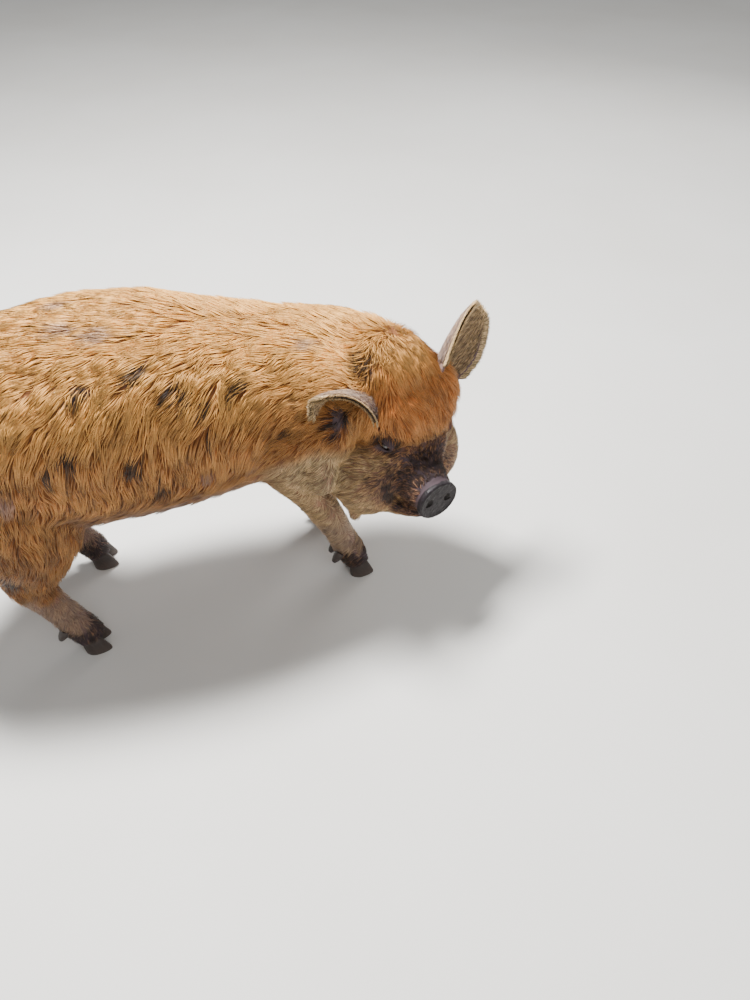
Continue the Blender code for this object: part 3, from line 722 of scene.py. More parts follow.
def blotches(tree, size, low, high, start=0.0, end=1.0):
    """Soft blotches of about one size, in metres, from one value to another."""
    where = add_node(tree, "ShaderNodeTexCoord")["Object"]
    grain = {"Vector": where, "Scale": 1.0 / size, "Detail": 3.0, "Roughness": 0.55}
    grain = add_node(tree, "ShaderNodeTexNoise", grain)["Fac"]
    share = {"Value": grain, "From Min": low, "From Max": high, "To Min": start, "To Max": end}
    return add_node(tree, "ShaderNodeMapRange", share)["Result"]


def grained(tree, size, strength):
    """Rounded grains of about one size, in metres, raised from the skin."""
    where = add_node(tree, "ShaderNodeTexCoord")["Object"]
    height = add_node(tree, "ShaderNodeTexVoronoi", {"Vector": where, "Scale": 1.0 / size})["Distance"]
    rise = {"Height": height, "Distance": GRAIN_HIGH, "Strength": strength}
    return add_node(tree, "ShaderNodeBump", rise)["Normal"]


def marked(tree):
    """The painted marks: black, lilac, cream and rufous."""
    marks = add_node(tree, "ShaderNodeAttribute", attribute_name="marks")
    parts = add_node(tree, "ShaderNodeSeparateColor", {"Color": marks["Color"]})
    return (*parts, marks["Alpha"])


def bristle(tree, colours):
    """Pig's bristle: solid keratin strands, glossy along their sides, paler at the tips; with painted shade at the
    roots and on the lower flanks, and painted sunlight along the back.
    """
    black, lilac, cream, rufous = marked(tree)
    strand = add_node(tree, "ShaderNodeAttribute", attribute_name="strand")["Color"]
    tone_and_low_shade, along, gold = add_node(tree, "ShaderNodeSeparateColor", {"Color": strand})
    tip = add_node(tree, "ShaderNodeMapRange", {"Value": along, "From Min": 0.3, "To Max": 0.45})[0]
    # Painted shade in the depth of the coat: each tuft darkens towards its root in the undercoat brown
    root_shade = {"Value": along, "From Max": 0.5, "To Min": 0.6, "To Max": 0.0}
    root_shade = add_node(tree, "ShaderNodeMapRange", root_shade)[0]
    # Random tone of the locks, with painted shade on the lower flanks
    shade = {"Value": tone_and_low_shade, "From Min": 0.12, "From Max": 0.88, "To Min": 0.20, "To Max": 1.08}
    shade = add_node(tree, "ShaderNodeMapRange", shade)[0]
    # Painted sunlight: hair that faces up is lifted towards full brightness
    sunlit = add_node(tree, "ShaderNodeMath", {0: gold, 1: 0.55}, operation="MULTIPLY")[0]
    shade = add_node(tree, "ShaderNodeMapRange", {"Value": sunlit, "To Min": shade, "To Max": 1.05})[0]
    base = layered(tree, colours["ginger"], (
        (gold, 0.90, colours["gold"]), (rufous, 0.85, colours["rufous"]),
        (cream, 0.85, colours["cream"]), (tip, 1, colours["tip"]),
    ))
    base = add_node(tree, "ShaderNodeMix", {0: 1.0, 6: base, 7: shade}, data_type="RGBA", blend_type="MULTIPLY")[2]
    base = layered(tree, base, (
        (root_shade, 1, colours["under"]), (lilac, 0.85, colours["lilac"]), (black, 1, colours["black"]),
    ))
    return {"Base Color": base, "Roughness": 0.48, "IOR": 1.55, "Specular IOR Level": 0.30}


def hide(tree, colours):
    """Pig's skin under thin hair: warm, matt, finely wrinkled, dark where the hair is dark."""
    black, lilac, cream, rufous = marked(tree)
    base = layered(tree, colours["hide"], (
        (blotches(tree, 0.012, 0.3, 0.7), 1, colours["under"]), (rufous, 0.5, colours["rufous"]),
        (cream, 0.6, colours["pink"]), (lilac, 0.8, colours["lilac"]), (black, 1, colours["mauve"]),
    ))
    return {
        "Base Color": base, "Roughness": 0.75, "IOR": 1.42, "Specular IOR Level": 0.30,
        "Normal": grained(tree, PORE, 0.5),
    }


def rhinarium(tree, colours):
    """The snout's disc: tough hairless skin, moist, pebbled and dark mauve-grey, with painted shade in the nostrils.
    """
    # Painted shade: the nostrils' insides take the eye's dark colour
    nostril_shade = add_node(tree, "ShaderNodeAttribute", attribute_name="marks")["Fac"]
    base = layered(tree, colours["disc"], (
        (blotches(tree, 0.008, 0.35, 0.7), 1, colours["disc_dark"]), (nostril_shade, 1, colours["eye"]),
    ))
    return {
        "Base Color": base, "Roughness": blotches(tree, 0.005, 0.3, 0.7, 0.38, 0.62), "IOR": 1.42,
        "Specular IOR Level": 0.25, "Coat Weight": 0.02, "Coat Roughness": 0.25,
        "Normal": grained(tree, PEBBLE, 0.7),
    }


def hoof_horn(tree, colours):
    """Hoof horn: layered keratin, ringed across, worn paler and dusty at the toe."""
    where = add_node(tree, "ShaderNodeTexCoord")["Object"]
    rings = {"Vector": where, "Scale": 1.0 / HORN_RING, "Distortion": 2.5, "Detail": 2.0}
    rings = add_node(tree, "ShaderNodeTexWave", rings, bands_direction="Z")["Fac"]
    height = add_node(tree, "ShaderNodeSeparateXYZ", {"Vector": where})["Z"]
    worn = add_node(tree, "ShaderNodeMapRange", {"Value": height, "From Min": 0.022, "From Max": 0.002})[0]
    base = layered(tree, colours["horn"], (
        (rings, 0.25, colours["horn_pale"]), (worn, 0.5, colours["horn_pale"]),
    ))
    ridge = {"Height": rings, "Distance": 0.0004, "Strength": 0.6}
    return {
        "Base Color": base, "Roughness": 0.5, "IOR": 1.54,
        "Normal": add_node(tree, "ShaderNodeBump", ridge)["Normal"],
    }


def wet_eye(tree, colours):
    """Eye: dark brown iris under a wet clear cornea, which gives one sharp highlight."""
    base = layered(tree, colours["eye"], ((blotches(tree, 0.002, 0.35, 0.65), 1, colours["eye_light"]),))
    return {"Base Color": base, "Roughness": 0.08, "IOR": 1.376, "Coat Weight": 1.0, "Coat Roughness": 0.02}


def studio_paint(tree, colours):
    """Plain pale matt floor with the faintest mottling."""
    base = layered(tree, colours["floor"], ((blotches(tree, 0.6, 0.3, 0.7), 1, colours["floor_low"]),))
    return {"Base Color": base, "Roughness": 0.9}


# Each finish by its short name: the material's name and its maker
MAKERS = {
    "coat": ("ginger_bristle", bristle), "skin": ("pig_hide", hide), "snout": ("moist_snout_leather", rhinarium),
    "hoof": ("hoof_horn", hoof_horn), "eye": ("wet_dark_eye", wet_eye), "floor": ("pale_studio_floor", studio_paint),
}
FINISHES = {}


def finish_of(name):
    """The material of one finish, made when it's first asked for."""
    if name not in FINISHES:
        chosen = bpy.context.scene.pig_colours
        colours = {shade: tuple(getattr(chosen, shade)) for shade in chosen.__annotations__}
        title, make = MAKERS[name]
        finish = bpy.data.materials.new(title)
        finish.use_nodes = True
        tree = finish.node_tree
        plug(tree, tree.nodes["Principled BSDF"], make(tree, colours))
        FINISHES[name] = finish
    return FINISHES[name]


def colour_prop(label, text, hexed):
    return bpy.props.FloatVectorProperty(
        name=label, description=text, subtype="COLOR", size=4, min=0.0, max=1.0, default=linear(hexed))


class PigColours(bpy.types.PropertyGroup):
    """Colours of the pig."""
    # Brown for the roots of the coat, as painted shade in its depth, and for random blotches on the skin
    under: colour_prop("Undercoat", "Hair in the depth of the coat", "#54301A")
    ginger: colour_prop("Ginger", "Hair on the flanks", "#AE682F")
    # The lit copy of the ginger: painted sunlight on the hair that faces up along the back
    gold: colour_prop("Gold", "Hair along the back", "#F6B459")
    rufous: colour_prop("Rufous", "Hair on the brow", "#D06E28")
    cream: colour_prop("Cream", "Hair on cheeks, shanks and ear rims", "#ECD3A8")
    tip: colour_prop("Tips", "Ends of the hair", "#F5C67C")
    lilac: colour_prop("Lilac", "Grey skin that shows through thin hair", "#84767A")
    black: colour_prop("Black", "Hair of the spots", "#1E1817")
    hide: colour_prop("Hide", "Skin under the coat", "#82522D")
    pink: colour_prop("Pink", "Skin of cheeks and shanks", "#A38470")
    mauve: colour_prop("Mauve", "Skin of the muzzle and the spots", "#40353A")
    disc: colour_prop("Disc", "Skin of the snout's disc", "#241E21")
    disc_dark: colour_prop("Disc, dark", "Blotches of the snout's disc", "#151113")
    horn: colour_prop("Horn", "Upper part of the hooves", "#2A1F1B")
    horn_pale: colour_prop("Horn, pale", "Worn part of the hooves", "#574940")
    eye: colour_prop("Eye", "Iris and pupil", "#120B08")
    eye_light: colour_prop("Eye, light", "Flecks of the iris", "#2A170E")
    floor: colour_prop("Floor", "Studio floor", "#E4E2DD")
    floor_low: colour_prop("Floor, low", "Mottling of the studio floor", "#DEDBD5")


class PigSizes(bpy.types.PropertyGroup):
    """Sizes of the pig's skin and coat."""
    cell: bpy.props.FloatProperty(
        name="Skin cell", description="Cell of the fused skin", default=4.5 * MM, unit="LENGTH")
    depth: bpy.props.FloatProperty(
        name="Coat depth", description="Depth of the coat over the skin", default=3.0 * MM, unit="LENGTH")
    hair_long: bpy.props.FloatProperty(
        name="Hair length", description="Length of the hair on the trunk", default=40.0 * MM, unit="LENGTH")
    hair_wide: bpy.props.FloatProperty(
        name="Tuft width", description="Width of a tuft on the trunk", default=1.6 * MM, unit="LENGTH")
    tufts: bpy.props.IntProperty(
        name="Tufts", description="Number of tufts in the whole coat", default=124000)
    camera_high: bpy.props.FloatProperty(
        name="Camera height", description="Height of the camera over the floor", default=CAMERA_AT.z, unit="LENGTH")


# Skin

class Ear:
    """One ear's leaf, curled into a cup, as a function of its length and width."""

    def __init__(self, name):
        root, way, opening, self.root_turn, self.widths = EARS[name]
        turn = HEAD.to_3x3()
        long_way = unit(turn @ way)
        tip_open = turn @ opening
        tip_open = unit(tip_open - long_way * tip_open.dot(long_way))
        self.root = np.array(HEAD @ root)
        self.long_way = np.array(long_way)
        self.tip_open = np.array(tip_open)
        self.side_way = np.array(long_way.cross(tip_open))

    def at(self, u, v):
        """Points of the leaf: u from root to tip, v from edge to edge, -1 to 1."""
        u, v = (np.asarray(a, float)[..., None] for a in (u, v))
        wide, swell, wane = self.widths
        half = EAR_WIDE * (wide + swell * u + wane * u * u)
        half = half * np.sqrt(np.maximum(1 - np.abs(u) ** EAR_POINT, 0.004))
        half = half * (1.0 + 0.03 * np.sin(9 * u + 2 * v) * np.abs(v))
        curl = EAR_CURL[0] + (EAR_CURL[1] - EAR_CURL[0]) * np.abs(u) ** 0.7
        turn = self.root_turn * np.maximum(1 - u, 0) ** EAR_TURN_EASE
        open_way = self.tip_open * np.cos(turn) + self.side_way * np.sin(turn)
        across = np.cross(open_way, self.long_way)
        middle = self.root + self.long_way * EAR_LONG * (u - EAR_SUNK) + self.tip_open * EAR_BEND * u * u
        angle = curl * v
        return middle + (across * np.sin(angle) + open_way * (1 - np.cos(angle))) * half / curl

    def frame_at(self, u, v):
        """Unit ways along and across the leaf, and out of its cup."""
        step = 0.01
        along = units(self.at(u + step, v) - self.at(u - step, v))
        across = units(self.at(u, v + step) - self.at(u, v - step))
        return along, across, units(np.cross(across, along))

    def near(self, points):
        """Which points are within reach of the ear."""
        middle = points - self.root - self.long_way * EAR_LONG * 0.45
        return np.linalg.norm(middle, axis=1) < EAR_REACH


def ear_leaf(name):
    """The ear's shell, open nowhere."""
    rows, columns = 46, 34
    u, v = np.meshgrid(np.arange(rows + 1) / rows, 2 * np.arange(columns + 1) / columns - 1, indexing="ij")
    bm = bmesh.new()
    grid = [[bm.verts.new(point) for point in row] for row in Ear(name).at(u, v)]
    for one, two in zip(grid, grid[1:]):
        for j in range(columns):
            bm.faces.new((one[j], one[j + 1], two[j + 1], two[j]))
    leaf = made(name + "_leaf", bm)
    modify(leaf, "SOLIDIFY", thickness=EAR_THICK, offset=0.0, use_even_offset=True)
    modify(leaf, "TRIANGULATE")
    finish_modifiers(leaf)
    return leaf


def sway_of_tail():
    """Steps of the tail's centre line: back, then down in a slight wave."""
    angles = np.linspace(0.1, 1.75, len(TAIL_RADII))
    return [Vector((-TAIL_STEP * math.cos(a), TAIL_SWING * math.sin(2 * a), -TAIL_STEP * math.sin(a)))
            for a in angles]


def eye_matrices():
    """For each eye: the ball's centre and axes forward, up and out, in the body frame."""
    turn = HEAD.to_3x3()
    out = {}
    for name, side in (("eye_right", -1), ("eye_left", 1)):
        low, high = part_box(name)
        facing = unit(turn @ Vector((0.62, side * 0.76, 0.10)))
        along = turn @ Vector((1.0, 0.0, -0.45))
        along = unit(along - facing * along.dot(facing))
        axes = Matrix((along, facing.cross(along), facing)).transposed().to_4x4()
        out[name] = (Matrix.Translation((low + high) / 2 - SHIFT) @ axes, (high - low).length / 2 / math.sqrt(3))
    return out


def skin_forms(cell):
    """Trunk, legs, skull, snout and jaw fused into one skin."""
    bm = bmesh.new()
    loft(bm, TRUNK)
    for leg in LEGS.values():
        loft(bm, leg, upright=True)
    for x, y, z, *radii in SKULL:
        for side in ((1, -1) if y else (1,)):
            ball(bm, (x, side * y, z), radii, HEAD)
    for x, y, z, *radii in FOLDS:
        ball(bm, (x, y, z), radii, Matrix.Identity(4))
    loft(bm, SNOUT, place=HEAD)
    loft(bm, JAW, place=HEAD)
    tube(bm, TAIL_ROOT, sway_of_tail(), TAIL_RADII)
    for side in (-1, 1):
        root = HEAD @ Vector((TASSEL_ROOT.x, side * TASSEL_ROOT.y, TASSEL_ROOT.z))
        tube(bm, root, [Vector((0, 0, -TASSEL_STEP))] * len(TASSEL_RADII), TASSEL_RADII)
    skin = made("pig_skin", bm)
    modify(skin, "REMESH", mode="VOXEL", voxel_size=cell)
    modify(skin, "SMOOTH", factor=0.5, iterations=9)
    finish_modifiers(skin)
    return skin


def refine_face(skin):
    """Split the faces of the muzzle and round the eyes."""
    bm = bmesh.new()
    bm.from_mesh(skin.data)
    local, share = headed(np.array([f.calc_center_median()[:] for f in bm.faces]))
    face = (local[:, 0] > -0.125) & (local[:, 2] < 0.095) & (share > 0.99)
    bm.faces.ensure_lookup_table()
    edges = {e for k in np.flatnonzero(face) for e in bm.faces[k].edges}
    bmesh.ops.subdivide_edges(bm, edges=list(edges), cuts=1, use_grid_fill=True, smooth=0.2)
    bmesh.ops.triangulate(bm, faces=[f for f in bm.faces if len(f.verts) > 4])
    bm.to_mesh(skin.data)
    bm.free()


def sculpt_body(skin, depth):
    """Sink the skin by the coat's depth and wrinkle it."""
    points, normals = points_of(skin)
    local, share = headed(points)
    x, y, z = local.T
    bare = np.maximum(smooth_step(0.10, 0.05, points[:, 2]), share * 0.7)
    sink = depth * (1 - 0.8 * bare)
    wobble = (noise(points, 0.030) - 0.5) * 0.0030 * (1 - share)
    snout = share * smooth_step(-0.090, -0.060, x) * smooth_step(-0.004, -0.020, x)
    rings = np.sin((x + 0.25 * np.abs(y)) / 0.0085 * 2 * math.pi + noise(points, 0.02) * 5)
    top = smooth_step(-0.01, 0.02, z)
    wrinkle = snout * top * rings * 0.0006
    jowl = share * smooth_step(-0.06, -0.09, x) * (noise(points + 2.0, 0.022) - 0.5) * 0.0010
    points = points + normals * (wobble + wrinkle + jowl - sink)[:, None]
    write_points(skin, points)


def mouth_line(skin):
    """A groove from one corner of the mouth under the disc to the other."""
    tree = BVHTree.FromObject(skin, bpy.context.evaluated_depsgraph_get())
    corner, front = Vector((-0.078, 0.060, -0.024)), Vector((-0.014, 0.0, -0.032))
    stations = []
    for t in np.linspace(-1.0, 1.0, 41):
        at = front.lerp(Vector((corner.x, 0.0, corner.z)), abs(t) ** 1.6)
        at.y = corner.y * math.sin(t * math.pi / 2)
        place = tree.find_nearest(HEAD @ at)[0]
        radius = 0.0021 * (1.05 - abs(t) ** 6 * 0.5)
        stations.append((*place, radius, radius, radius))
    bm = bmesh.new()
    loft(bm, stations, sides=10, steps=2)
    return made("mouth", bm)


def lid_forms(skin):
    """Raise the lids over the eyes, slit them and hollow out the sockets."""
    for place, radius in eye_matrices().values():
        lid = radius + 2.4 * MM
        for operation, centre, radii in (
            ("UNION", (0, 0, 0), (lid * 1.16, lid, lid)),
            ("DIFFERENCE", (0, -0.8 * MM, lid), (11.0 * MM, 4.0 * MM, lid)),
            ("DIFFERENCE", (0, 0, 0), (radius + 0.3 * MM,) * 3),
        ):
            bm = bmesh.new()
            ball(bm, centre, radii, place, 48)
            boolean(skin, made("lid", bm), operation)


def soften_near(skin, centre, reach, passes):
    """Smooth the skin's points near a place, so that joined forms flow together."""
    bm = bmesh.new()
    bm.from_mesh(skin.data)
    near = [v for v in bm.verts if (v.co - centre).length - reach < 0]
    for _ in range(passes):
        bmesh.ops.smooth_vert(bm, verts=near, factor=0.5, use_axis_x=True, use_axis_y=True, use_axis_z=True)
    bm.to_mesh(skin.data)
    bm.free()


FLESH = ["torso", "neck", "head", "tail", "ear_left", "ear_right", "tassel_left", "tassel_right"] + [
    f"leg_{leg}_{part}" for leg in LEGS for part in ("upper", "lower")
]
KEPT = {}


class PIG_OT_skin(bpy.types.Operator):
    """Build the pig's one skin with its lids, mouth and ears"""
    bl_idname = "pig.skin"
    bl_label = "Skin"

    def execute(self, context):
        sizes = context.scene.pig_sizes
        skin = skin_forms(sizes.cell)
        refine_face(skin)
        sculpt_body(skin, sizes.depth)
        bm = bmesh.new()
        bmesh.ops.create_cube(bm, size=0.1)
        bm.transform(HEAD @ Matrix.Translation((0.05 - DISC_THICK * 0.5, 0, 0)))
        boolean(skin, made("clip", bm))
        boolean(skin, mouth_line(skin))
        soften_near(skin, HEAD @ Vector((-0.04, 0, -0.035)), 0.07, 1)
        lid_forms(skin)
        KEPT["body"] = Surface(skin)
        for name in EARS:
            leaf = ear_leaf(name)
            KEPT[name] = Surface(leaf)
            boolean(skin, leaf, "UNION")
            soften_near(skin, Vector(Ear(name).root), 0.030, 3)
        place_spots(KEPT["body"])
        put_colours(skin.data, "marks", skin_marks(*points_of(skin)))
        dress(skin, "skin")
        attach(skin, "root")
        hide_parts(*FLESH)
        return {"FINISHED"}


def earness(points):
    """1 on the free part of an ear."""
    share = np.zeros(len(points))
    for name in EARS:
        for k in np.flatnonzero(Ear(name).near(points)):
            found = KEPT[name].tree.find_nearest(Vector(points[k]), EAR_THICK)
            if found[0]:
                share[k] = max(share[k], 1 - found[3] / EAR_THICK)
    return smooth_step(0.45, 0.80, share)


def skin_marks(points, normals):
    """The coat's marks, with grey insides and cream backs for the ears."""
    marks = marks_of(points, normals)
    ear = earness(points)
    inside = np.zeros(len(points))
    for name in EARS:
        one = Ear(name)
        inside = np.where(one.near(points), smooth_step(-0.1, 0.4, normals @ one.tip_open), inside)
    marks[:, 0] = np.clip(marks[:, 0] * 1.6, 0, 0.95)
    marks = marks * (1 - ear)[:, None]
    marks[:, 0] += ear * inside * 0.35
    marks[:, 1] += ear * (0.35 + 0.45 * inside)
    marks[:, 2] += ear * (0.9 - 0.6 * inside)
    return marks


class PIG_OT_snout(bpy.types.Operator):
    """Build the snout's disc with its rim and nostrils"""
    bl_idname = "pig.snout"
    bl_label = "Snout disc"

    def execute(self, context):
        add = bpy.ops.mesh.primitive_cylinder_add
        disc = primitive("snout_rhinarium", add, vertices=96, radius=1.0, depth=1.0)
        size = Matrix.Diagonal((DISC_THICK, DISC_WIDE, DISC_HIGH, 1.0))
        place = HEAD @ Matrix.Translation((-DISC_THICK / 2, 0, 0)) @ size @ Matrix.Rotation(math.pi / 2, 4, "Y")
        bm = bmesh.new()
        bm.from_mesh(disc.data)
        front = [f for f in bm.faces if f.normal.z > 0.9]
        for inset, sink in DISC_STEPS:
            bmesh.ops.inset_individual(bm, faces=front, thickness=inset, depth=0.0)
            bmesh.ops.translate(bm, verts=list({v for f in front for v in f.verts}), vec=(0, 0, -sink))
        bm.transform(place)
        bm.to_mesh(disc.data)
        bm.free()
        modify(disc, "BEVEL", width=2.6 * MM, segments=4, limit_method="ANGLE", angle_limit=SHARP)
        modify(disc, "REMESH", mode="VOXEL", voxel_size=0.7 * MM)
        modify(disc, "SMOOTH", iterations=4)
        finish_modifiers(disc)
        pits = []
        for side in (1, -1):
            for (x, y, z), radii in NOSTRILS:
                centre = (x, side * y, z)
                bm = bmesh.new()
                ball(bm, centre, radii, HEAD, 32)
                boolean(disc, made("nostril", bm))
                pits.append((np.array(centre), np.array(radii)))
        points, normals = points_of(disc)
        local = headed(points)[0]
        # Mark the nostrils' insides for painted shade
        nostril_shade = np.max([np.linalg.norm((local - centre) / radii, axis=1) < 1.04 for centre, radii in pits], axis=0)
        nostril_shade = nostril_shade * smooth_step(0.0, -2.5 * MM, local[:, 0])
        put_colours(disc.data, "marks", np.stack([nostril_shade] * 4, 1))
        write_points(disc, points + normals * ((noise(points, 0.0035) - 0.5) * 0.0007)[:, None])
        dress(disc, "snout")
        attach(disc, "root")
        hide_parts("snout_disc")
        return {"FINISHED"}


class PIG_OT_eyes(bpy.types.Operator):
    """Build both eyeballs with their bulging corneas"""
    bl_idname = "pig.eyes"
    bl_label = "Eyes"

    def execute(self, context):
        for name, (place, radius) in eye_matrices().items():
            add = bpy.ops.mesh.primitive_uv_sphere_add
            eye = primitive(name.replace("eye", "eyeball"), add, segments=48, ring_count=32, radius=1.0)
            points = points_of(eye)[0]
            bulge = 1.0 - 0.035 * (1 - smooth_step(0.62, 0.86, points[:, 2]))
            write_points(eye, points * bulge[:, None] * radius)
            eye.data.transform(Matrix.Translation(SHIFT) @ place)
            eye.data.materials.append(finish_of("eye"))
            eye.data.shade_smooth()
            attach(eye, "root")
            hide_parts(name)
        return {"FINISHED"}


def claw_form(bm, x, y, side):
    """Half of a cloven hoof with growth rings, flat on the floor."""
    rows = eased(CLAW, 7)
    turn = Matrix.Rotation(side * CLAW_SPREAD, 3, "Z")
    rings = []
    for height, middle, half, toe, heel in rows:
        grown = 1.0 + 0.012 * math.sin(height / 0.0042 * 2 * math.pi)
        ring = []
        for angle in np.linspace(0, 2 * math.pi, 36, endpoint=False):
            reach = (toe if math.cos(angle) > 0 else heel) * grown
            spot = Vector((middle + reach * math.cos(angle), half * grown * math.sin(angle), 0.0))
            spot.y *= 1.0 - 0.25 * max(math.cos(angle), 0.0)
            spot = turn @ spot
            ring.append(bm.verts.new((x + spot.x, y + side * CLAW_APART + spot.y, height)))
        rings.append(ring)
    close_rings(bm, rings)


class PIG_OT_hooves(bpy.types.Operator):
    """Build the claws and dewclaws of all four feet"""
    bl_idname = "pig.hooves"
    bl_label = "Hooves"

    def execute(self, context):
        for name, leg in LEGS.items():
            x, y = leg[-1][:2]
            for place, side in (("inner", -1), ("outer", 1)):
                side *= 1 if y > 0 else -1
                bm = bmesh.new()
                claw_form(bm, x, y, side)
                self.finish(made(f"hoof_{name}_{place}", bm), f"claw_{name}_{place}")
                bm = bmesh.new()
                root = Vector((leg[-3][0] - DEW_BACK, y + side * DEW_APART, DEW_UP)) - DEW_STEP * 1.2
                tube(bm, root, [DEW_STEP] * 4, DEW_RADII, 20)
                self.finish(made(f"dew_{name}_{place}", bm), f"dewclaw_{name}_{place}")
        return {"FINISHED"}

    def finish(self, horn, node):
        """Round off one piece of horn and set it in its node's place."""
        modify(horn, "BEVEL", width=0.9 * MM, segments=3, limit_method="ANGLE", angle_limit=SHARP)
        finish_modifiers(horn)
        dress(horn, "hoof")
        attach(horn, "root")
        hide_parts(node)


# Coat pieces

def body_style(points, sizes):
    """Length, width and lift of the tufts at each place of the body."""
    local, share = headed(points)
    z = local[:, 2]
    long = np.full(len(points), sizes.hair_long)
    long *= 0.85 + 0.3 * noise(points + 5.0, 0.05)
    leg = smooth_step(0.24, 0.16, points[:, 2])
    long = long * (1 - leg) + HAIR["leg"] * leg
    foot = smooth_step(0.085, 0.045, points[:, 2])
    long = long * (1 - foot) + HAIR["foot"] * foot
    brow = smooth_step(0.080, 0.135, z) * share
    cheek = share * (1 - brow)
    crown = 4 * share * (1 - share) * smooth_step(0.10, 0.16, z)
    muzzle = muzzle_hair(local, share)
    long = long * (1 - share) + (HAIR["cheek"] * cheek + HAIR["brow"] * brow)
    long = long * (1 - muzzle) * (1 - 0.35 * crown) + HAIR["muzzle"] * muzzle
    wide = sizes.hair_wide * np.clip(long / sizes.hair_long, 0.42, 1.0) ** 0.7 * (1 - 0.15 * brow)
    lift = 2.2 * MM + long * (0.060 + 0.12 * brow) + 2 * MM * crown
    lift = lift * (1 - muzzle) + 1.8 * MM * muzzle
    lift *= 0.6 + 0.9 * noise(points + 9.0, 0.03)
    return long, wide, lift


def body_density(points):
    """How close the tufts stand: close on the face, none on the eyes, the disc and the hooves."""
    local, share = headed(points)
    dense = 1.0 + 1.3 * smooth_step(0.0, 0.3, share) + 1.6 * muzzle_hair(local, share)
    dense += 1.4 * smooth_step(0.22, 0.14, points[:, 2])
    belly = smooth_step(0.27, 0.25, points[:, 2]) * smooth_step(0.07, 0.04, np.abs(points[:, 1])) * (1 - share)
    dense *= 1 - 0.5 * belly
    for place, radius in eye_matrices().values():
        apart = np.linalg.norm(points - np.array(place.translation), axis=1)
        dense *= smooth_step(radius + 1.5 * MM, radius + 5 * MM, apart)
    disc = np.linalg.norm(points - np.array(HEAD @ Vector((-DISC_THICK, 0, 0))), axis=1)
    dense *= (local[:, 0] < -DISC_THICK - 2 * MM) | (disc > 0.06)
    return dense * (points[:, 2] > HOOF_HIGH)


def body_regions(points):
    """Name of the coat piece that each place belongs to."""
    local, share = headed(points)
    x, y, z = points.T
    names = np.full(len(points), "coat_belly", dtype=object)
    for name, here in (
        ("coat_flank_left", z > 0.33), ("coat_flank_right", (z > 0.33) & (y < 0)), ("coat_back", z > 0.46),
        ("coat_rump", (x < -0.27) & (z > LEG_TOP)), ("coat_shoulder", (x > 0.10) & (z > LEG_TOP)),
        ("coat_legs", z < LEG_TOP), ("coat_head", share > 0.5),
        ("coat_muzzle", (share > 0.5) & (local[:, 0] > -0.085) & (local[:, 2] < 0.075)),
    ):
        names[here] = name
    return names


def body_unwrap(name, points):
    """The skin laid out flat: along and around the trunk, a leg or the head."""
    if name in ("coat_head", "coat_muzzle"):
        local = headed(points)[0]
        around = np.arctan2(local[:, 1], local[:, 2] - 0.02) / (2 * math.pi) + 0.5
        along = (local[:, 0] + 0.22) / 0.22
        return np.stack([along, around], 1)
    if name == "coat_legs":
        quarter = (points[:, 0] > 0) * 2 + (points[:, 1] > 0)
        middle = np.where(points[:, 0] > 0, 0.16, -0.27)
        side = np.where(points[:, 1] > 0, 0.09, -0.10)
        around = np.arctan2(points[:, 1] - side, points[:, 0] - middle) / (2 * math.pi) + 0.5
        return np.stack([points[:, 2] / 0.28, (quarter + around * 0.98) / 4], 1)
    around = np.arctan2(points[:, 1], points[:, 2] - 0.38) / (2 * math.pi) + 0.5
    along = (points[:, 0] + 0.45) / 0.78
    return np.stack([along, around], 1)


class PIG_OT_coat(bpy.types.Operator):
    """Sow the bristle coat over the body, region by region"""
    bl_idname = "pig.coat"
    bl_label = "Coat"

    def execute(self, context):
        sizes = context.scene.pig_sizes
        surface = KEPT["body"]
        dice = np.random.default_rng(SEED)
        total = sizes.tufts // 1
        dense = body_density(surface.middles)
        names = body_regions(surface.middles)
        share = surface.areas * dense
        for name in sorted(set(names)):
            here = dense * (names == name)
            count = int(total * (share * (names == name)).sum() / share.sum())
            parts = max(1, math.ceil(count * len(TUFT_FACES) / PIECE_MOST))
            for k in range(parts):
                label = name if parts == 1 else f"{name}_{k + 1}"
                self.grow(label, name, surface, count // parts, here, sizes, dice)
        return {"FINISHED"}

    def grow(self, label, region, surface, count, density, sizes, dice):
        """Sow one piece of the coat."""
        roots, normals = surface.sow(count, density, dice)
        long, wide, lift = body_style(roots, sizes)
        middle, middle_up, end, lock = tufts(surface, roots, normals, long, lift, dice)
        wide = wide * dice.uniform(0.7, 1.2, count)
        marks = coat_marks(middle, middle_up, dice)
        piece = tuft_mesh(
            label, roots, normals, middle, middle_up, end, lock, wide, body_unwrap(region, roots), marks)
        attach(piece, "root")


